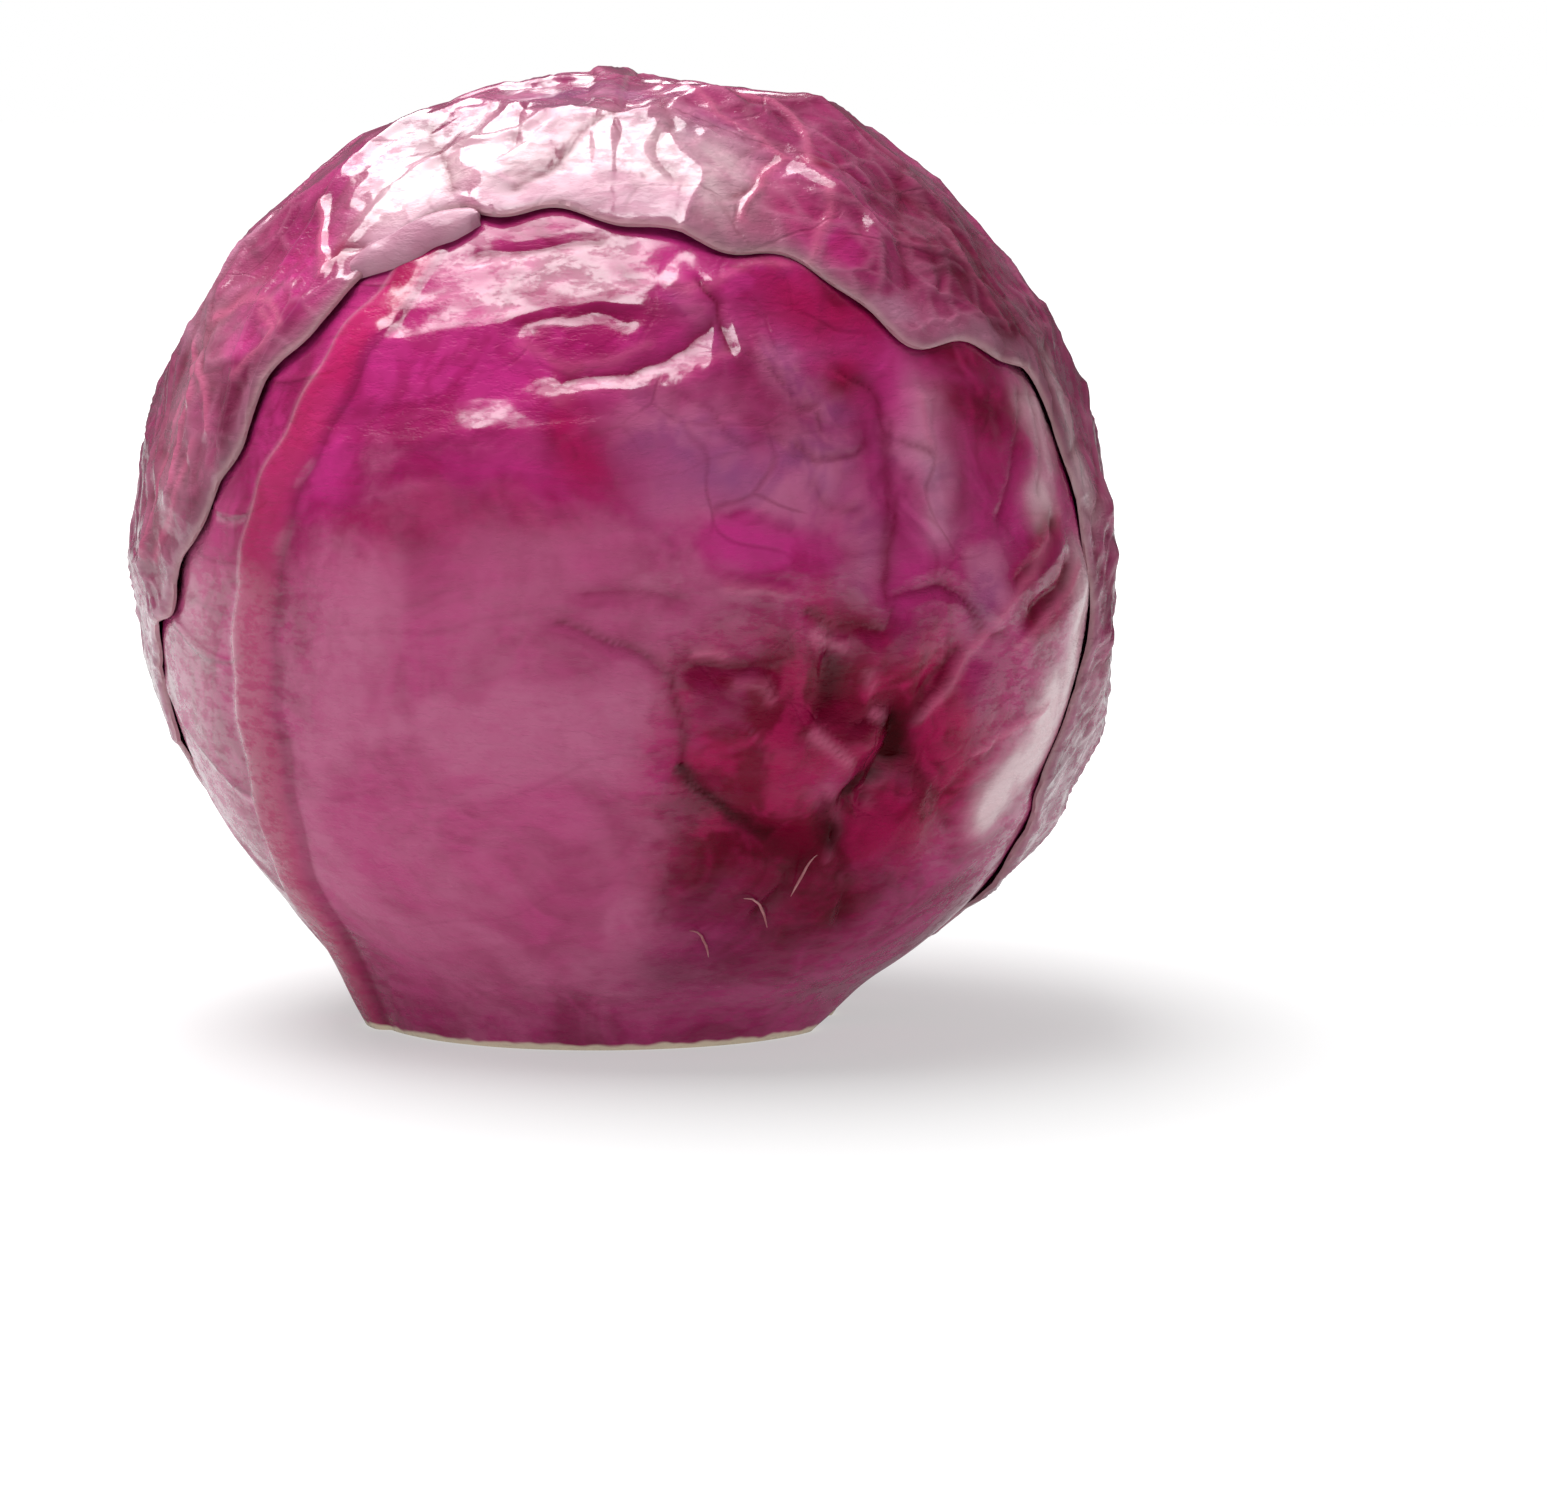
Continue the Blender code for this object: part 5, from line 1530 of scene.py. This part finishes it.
def stem_tree():
    """A cut core: a cylinder that follows a profile, with rings of bundles standing out of its cut face."""
    tree, given, made = new_geometry_tree("cut_core", {
        "Radius": "Float", "Height": "Float", "Bundle Rise": "Float", "Bundle Radius": "Float",
        "Rings": "Int", "Seed": "Int"})
    body = add_node(tree, "GeometryNodeMeshCylinder", {
        "Vertices": STEM_SIDES, "Side Segments": STEM_ROWS, "Fill Segments": STEM_FACE_ROWS,
        "Radius": 1.0, "Depth": 1.0}, "Mesh")
    place = add_node(tree, "GeometryNodeInputPosition")
    x = add_node(tree, "ShaderNodeSeparateXYZ", {0: place}, "X")
    share = x.beside("Z") + 0.5
    profile = add_node(tree, "ShaderNodeFloatCurve", {"Value": share})
    mapping = profile.socket.node.mapping
    points = mapping.curves[0].points
    shares = [(height * MM / STEM_HEIGHT, radius * MM / STEM_RADIUS) for radius, height in STEM_PROFILE]
    points[0].location, points[1].location = shares[0], shares[-1]
    for height, radius in shares[1:-1]:
        points.new(height, radius)
    mapping.update()
    uneven = noise_node(place, *STEM_ROUGH_NOISE) * STEM_ROUGHNESS + (1 - STEM_ROUGHNESS)
    wide = profile * given["Radius"] * uneven
    rise = share * given["Height"] + (1.0 - share) * given["Bundle Rise"]
    spot = {"Geometry": body, "Position": vector_of(x * wide, x.beside("Y") * wide, rise)}
    core = add_node(tree, "GeometryNodeSetPosition", spot)

    # Bundles in rings, each turned by the golden angle from the last
    count = given["Rings"] * RING_BUNDLES
    points = add_node(tree, "GeometryNodeMeshLine", {"Count": count})
    index = add_node(tree, "GeometryNodeInputIndex")
    spread = add_node(tree, "FunctionNodeRandomValue", {
        2: -BUNDLE_SPREAD, 3: BUNDLE_SPREAD, "ID": index, "Seed": given["Seed"]}, 1)
    ring = calc("FLOOR", index / RING_BUNDLES)
    far = ((ring + FIRST_RING) / (given["Rings"] + 1.0) + spread) * given["Radius"]
    angle = index * math.radians(GOLDEN_ANGLE)
    seat = vector_of(calc("COSINE", angle) * far, calc("SINE", angle) * far, given["Bundle Rise"])
    points = add_node(tree, "GeometryNodeSetPosition", {"Geometry": points, "Position": seat})
    dot = add_node(tree, "GeometryNodeMeshUVSphere", {"Segments": 8, "Rings": 4, "Radius": 1.0}, "Mesh")
    flat = vector_of(given["Bundle Radius"], given["Bundle Radius"], given["Bundle Rise"])
    dots = add_node(tree, "GeometryNodeInstanceOnPoints", {"Points": points, "Instance": dot, "Scale": flat})
    joined = add_node(tree, "GeometryNodeJoinGeometry", {0: core})
    dots.feed(joined.socket.node.inputs[0])
    return end_tree(tree, given, made, joined)


def strand_tree():
    """Thin strands along the edges of a mesh, a little wavy and thinner towards each end."""
    tree, given, made = new_geometry_tree("loose_strands", {
        "Radius": "Float", "Waver": "Float", "Sides": "Int"})
    line = add_node(tree, "GeometryNodeMeshToCurve", {"Mesh": given["Geometry"]})
    line = add_node(tree, "GeometryNodeResampleCurve", {"Curve": line, "Count": STRAND_ROWS})
    place = add_node(tree, "GeometryNodeInputPosition")
    bent = noise_node(place, STRAND_BENDS, 1.0, 0.5, output="Color")
    centred = vector_math("SUBTRACT", {0: bent, 1: (0.5, 0.5, 0.5)})
    shift = vector_math("SCALE", {0: centred, "Scale": given["Waver"]})
    line = add_node(tree, "GeometryNodeSetPosition", {"Geometry": line, "Offset": shift})
    along = add_node(tree, "GeometryNodeSplineParameter", None, "Factor")
    taper = calc("SINE", along * (math.pi - 2 * STRAND_END) + STRAND_END)
    ring = add_node(tree, "GeometryNodeCurvePrimitiveCircle", {"Resolution": given["Sides"], "Radius": 1.0})
    tube = add_node(tree, "GeometryNodeCurveToMesh", {
        "Curve": line, "Profile Curve": ring, "Scale": taper * given["Radius"], "Fill Caps": True})
    return end_tree(tree, given, made, tube)


def grown(name, tree, points, edges, values):
    """The plain mesh that a Geometry Nodes tree makes of some points, edges and its named values."""
    start = bpy.data.meshes.new(name + "_start")
    start.from_pydata(points, edges, [])
    seed = bpy.data.objects.new(name + "_seed", start)
    bpy.context.scene.collection.objects.link(seed)
    modifier = seed.modifiers.new(name, "NODES")
    modifier.node_group = tree
    for item in tree.interface.items_tree:
        if item.in_out == "INPUT" and item.name in values:
            modifier[item.identifier] = values[item.name]
    bpy.context.view_layer.update()
    made = bpy.data.meshes.new_from_object(seed.evaluated_get(bpy.context.evaluated_depsgraph_get()))
    seed.modifiers.remove(modifier)
    bpy.data.objects.remove(seed)
    bpy.data.meshes.remove(start)
    made.name = name
    face_out(made)
    return made


def add_stem(flesh):
    data = grown("cut_core", stem_tree(), [], [], {
        "Radius": STEM_RADIUS, "Height": STEM_HEIGHT, "Bundle Rise": BUNDLE_RISE,
        "Bundle Radius": BUNDLE_RADIUS, "Rings": BUNDLE_RINGS, "Seed": SEED, "Material": flesh})
    add_piece("cut_core", data, "stem_flesh", (), "stem")


def add_strands(finish):
    """Pale strands that lie on the front leaf above the foot."""
    points, edges = [], []
    share = np.linspace(0, 1, STRAND_POINTS)
    for turn, height, lean, length in STRANDS:
        arch = STRAND_ARCH * np.sin(math.pi * share)
        line = direction(turn + lean * share, height - length * share + arch)
        edges += [(len(points) + i, len(points) + i + 1) for i in range(STRAND_POINTS - 1)]
        points += placed(line, head_reach(line) - FRONT.depth + STRAND_RISE).tolist()
    data = grown("loose_strands", strand_tree(), points, edges, {
        "Radius": STRAND_RADIUS, "Waver": STRAND_WAVER, "Sides": STRAND_SIDES, "Material": finish})
    add_piece("loose_strands", data, "wrapper_leaf", (), "front_leaf")


# The stage: a pale floor that glows more away from the head, a white room and a soft lamp. The camera
# sees the room white, and what mirrors it sees it darker.
FLOOR_RADIUS = 6.0
FLOOR_SIDES = 64
FLOOR_GREY = (0.40, 0.40, 0.40, 1.0)
FLOOR_ROUGHNESS = 0.9
FLOOR_GLOW = (0.05, 0.5, 0.48, 0.95)
WHITE = (1.0, 1.0, 1.0, 1.0)
ROOM_LIGHT = (0.0, 0.9, 0.24, 0.60)
GLOSSY_ROOM = 0.2
SOFTBOX_PLACE = (-0.30, 0.35, 1.08)
SOFTBOX_AIM = (-0.30, 0.35, 0.0)
SOFTBOX_SIZE = (0.8, 1.7)
SOFTBOX_POWER = 29.0


def dimmed(light, rays):
    """A light that glossy surfaces mirror less bright than it is."""
    return light * ranged(rays, 0.0, 1.0, 1.0, GLOSSY_ROOM)


def add_floor():
    mesh = bmesh.new()
    bmesh.ops.create_circle(mesh, cap_ends=True, radius=FLOOR_RADIUS, segments=FLOOR_SIDES)
    data = bpy.data.meshes.new("floor")
    mesh.to_mesh(data)
    mesh.free()
    finish, place, skin = new_material("pale_floor")
    skin["Base Color"].default_value = FLOOR_GREY
    skin["Roughness"].default_value = FLOOR_ROUGHNESS
    skin["Emission Color"].default_value = WHITE
    skin["Specular IOR Level"].default_value = 0.0
    rays = add_node(finish.node_tree, "ShaderNodeLightPath", None, "Is Glossy Ray")
    dimmed(ranged(length_of(place), *FLOOR_GLOW), rays).feed(skin["Emission Strength"])
    data.materials.append(finish)
    floor = bpy.data.objects.new("floor", data)
    bpy.context.scene.collection.objects.link(floor)


def add_softbox():
    """A soft lamp above and behind the head."""
    lamp = bpy.data.lights.new("top_softbox", "AREA")
    lamp.shape = "RECTANGLE"
    lamp.size, lamp.size_y = SOFTBOX_SIZE
    lamp.energy = SOFTBOX_POWER
    made = bpy.data.objects.new("top_softbox", lamp)
    made.location = SOFTBOX_PLACE
    made.rotation_euler = (Vector(SOFTBOX_AIM) - Vector(SOFTBOX_PLACE)).to_track_quat("-Z", "Y").to_euler()
    bpy.context.scene.collection.objects.link(made)


def light_room():
    """A white room, brighter behind the head than in front of it, and white where the camera sees it."""
    world = bpy.data.worlds.new("white_room")
    bpy.context.scene.world = world
    world.use_nodes = True
    tree = world.node_tree
    background = tree.nodes["Background"].inputs
    way = add_node(tree, "ShaderNodeTexCoord", None, "Generated")
    depth = add_node(tree, "ShaderNodeSeparateXYZ", {"Vector": way}, "Y")
    rays = add_node(tree, "ShaderNodeLightPath", None, "Is Glossy Ray")
    lit = dimmed(ranged(depth, *ROOM_LIGHT), rays)
    seen = {0: rays.beside("Is Camera Ray"), 2: lit, 3: 1.0}
    add_node(tree, "ShaderNodeMix", seen, data_type="FLOAT").feed(background["Strength"])
    background["Color"].default_value = WHITE


def add_camera():
    """Stands at the photograph's viewing angle and turns, so that the head lies off its centre."""
    camera = bpy.data.cameras.new("camera")
    camera.sensor_width = SENSOR
    camera.lens = FOCAL_PIXELS / PHOTO_SIZE[0] * SENSOR
    camera.clip_start, camera.clip_end = CAMERA_CLIP
    made = bpy.data.objects.new("camera", camera)
    bpy.context.scene.collection.objects.link(made)
    back = Vector(direction(0, CAMERA_HEIGHT).tolist())
    made.location = Vector((0.0, 0.0, BALL_HEIGHT)) + back * CAMERA_REACH
    seen = Vector((HEAD_PIXEL[0] - PHOTO_SIZE[0] / 2, PHOTO_SIZE[1] / 2 - HEAD_PIXEL[1], -FOCAL_PIXELS))
    turn = seen.rotation_difference(Vector((0.0, 0.0, -1.0)))
    made.rotation_mode = "QUATERNION"
    made.rotation_quaternion = (-back).to_track_quat("-Z", "Y") @ turn
    bpy.context.scene.camera = made


def main():
    add_camera()
    add_floor()
    add_softbox()
    light_room()
    bpy.context.scene.view_settings.view_transform = "Standard"
    flesh = flesh_material()
    hood, front, side = (leaf_material(finish) for finish in (HOOD_FINISH, FRONT_FINISH, SIDE_FINISH))
    for leaf, skin in ((HOOD, hood), (FRONT, front), (LEFT, side), (RIGHT, side)):
        add_leaf(leaf, (skin, flesh))
    add_lip((hood, flesh))
    add_heart((side, flesh))
    add_stem(flesh)
    add_strands(pale_material())


main()
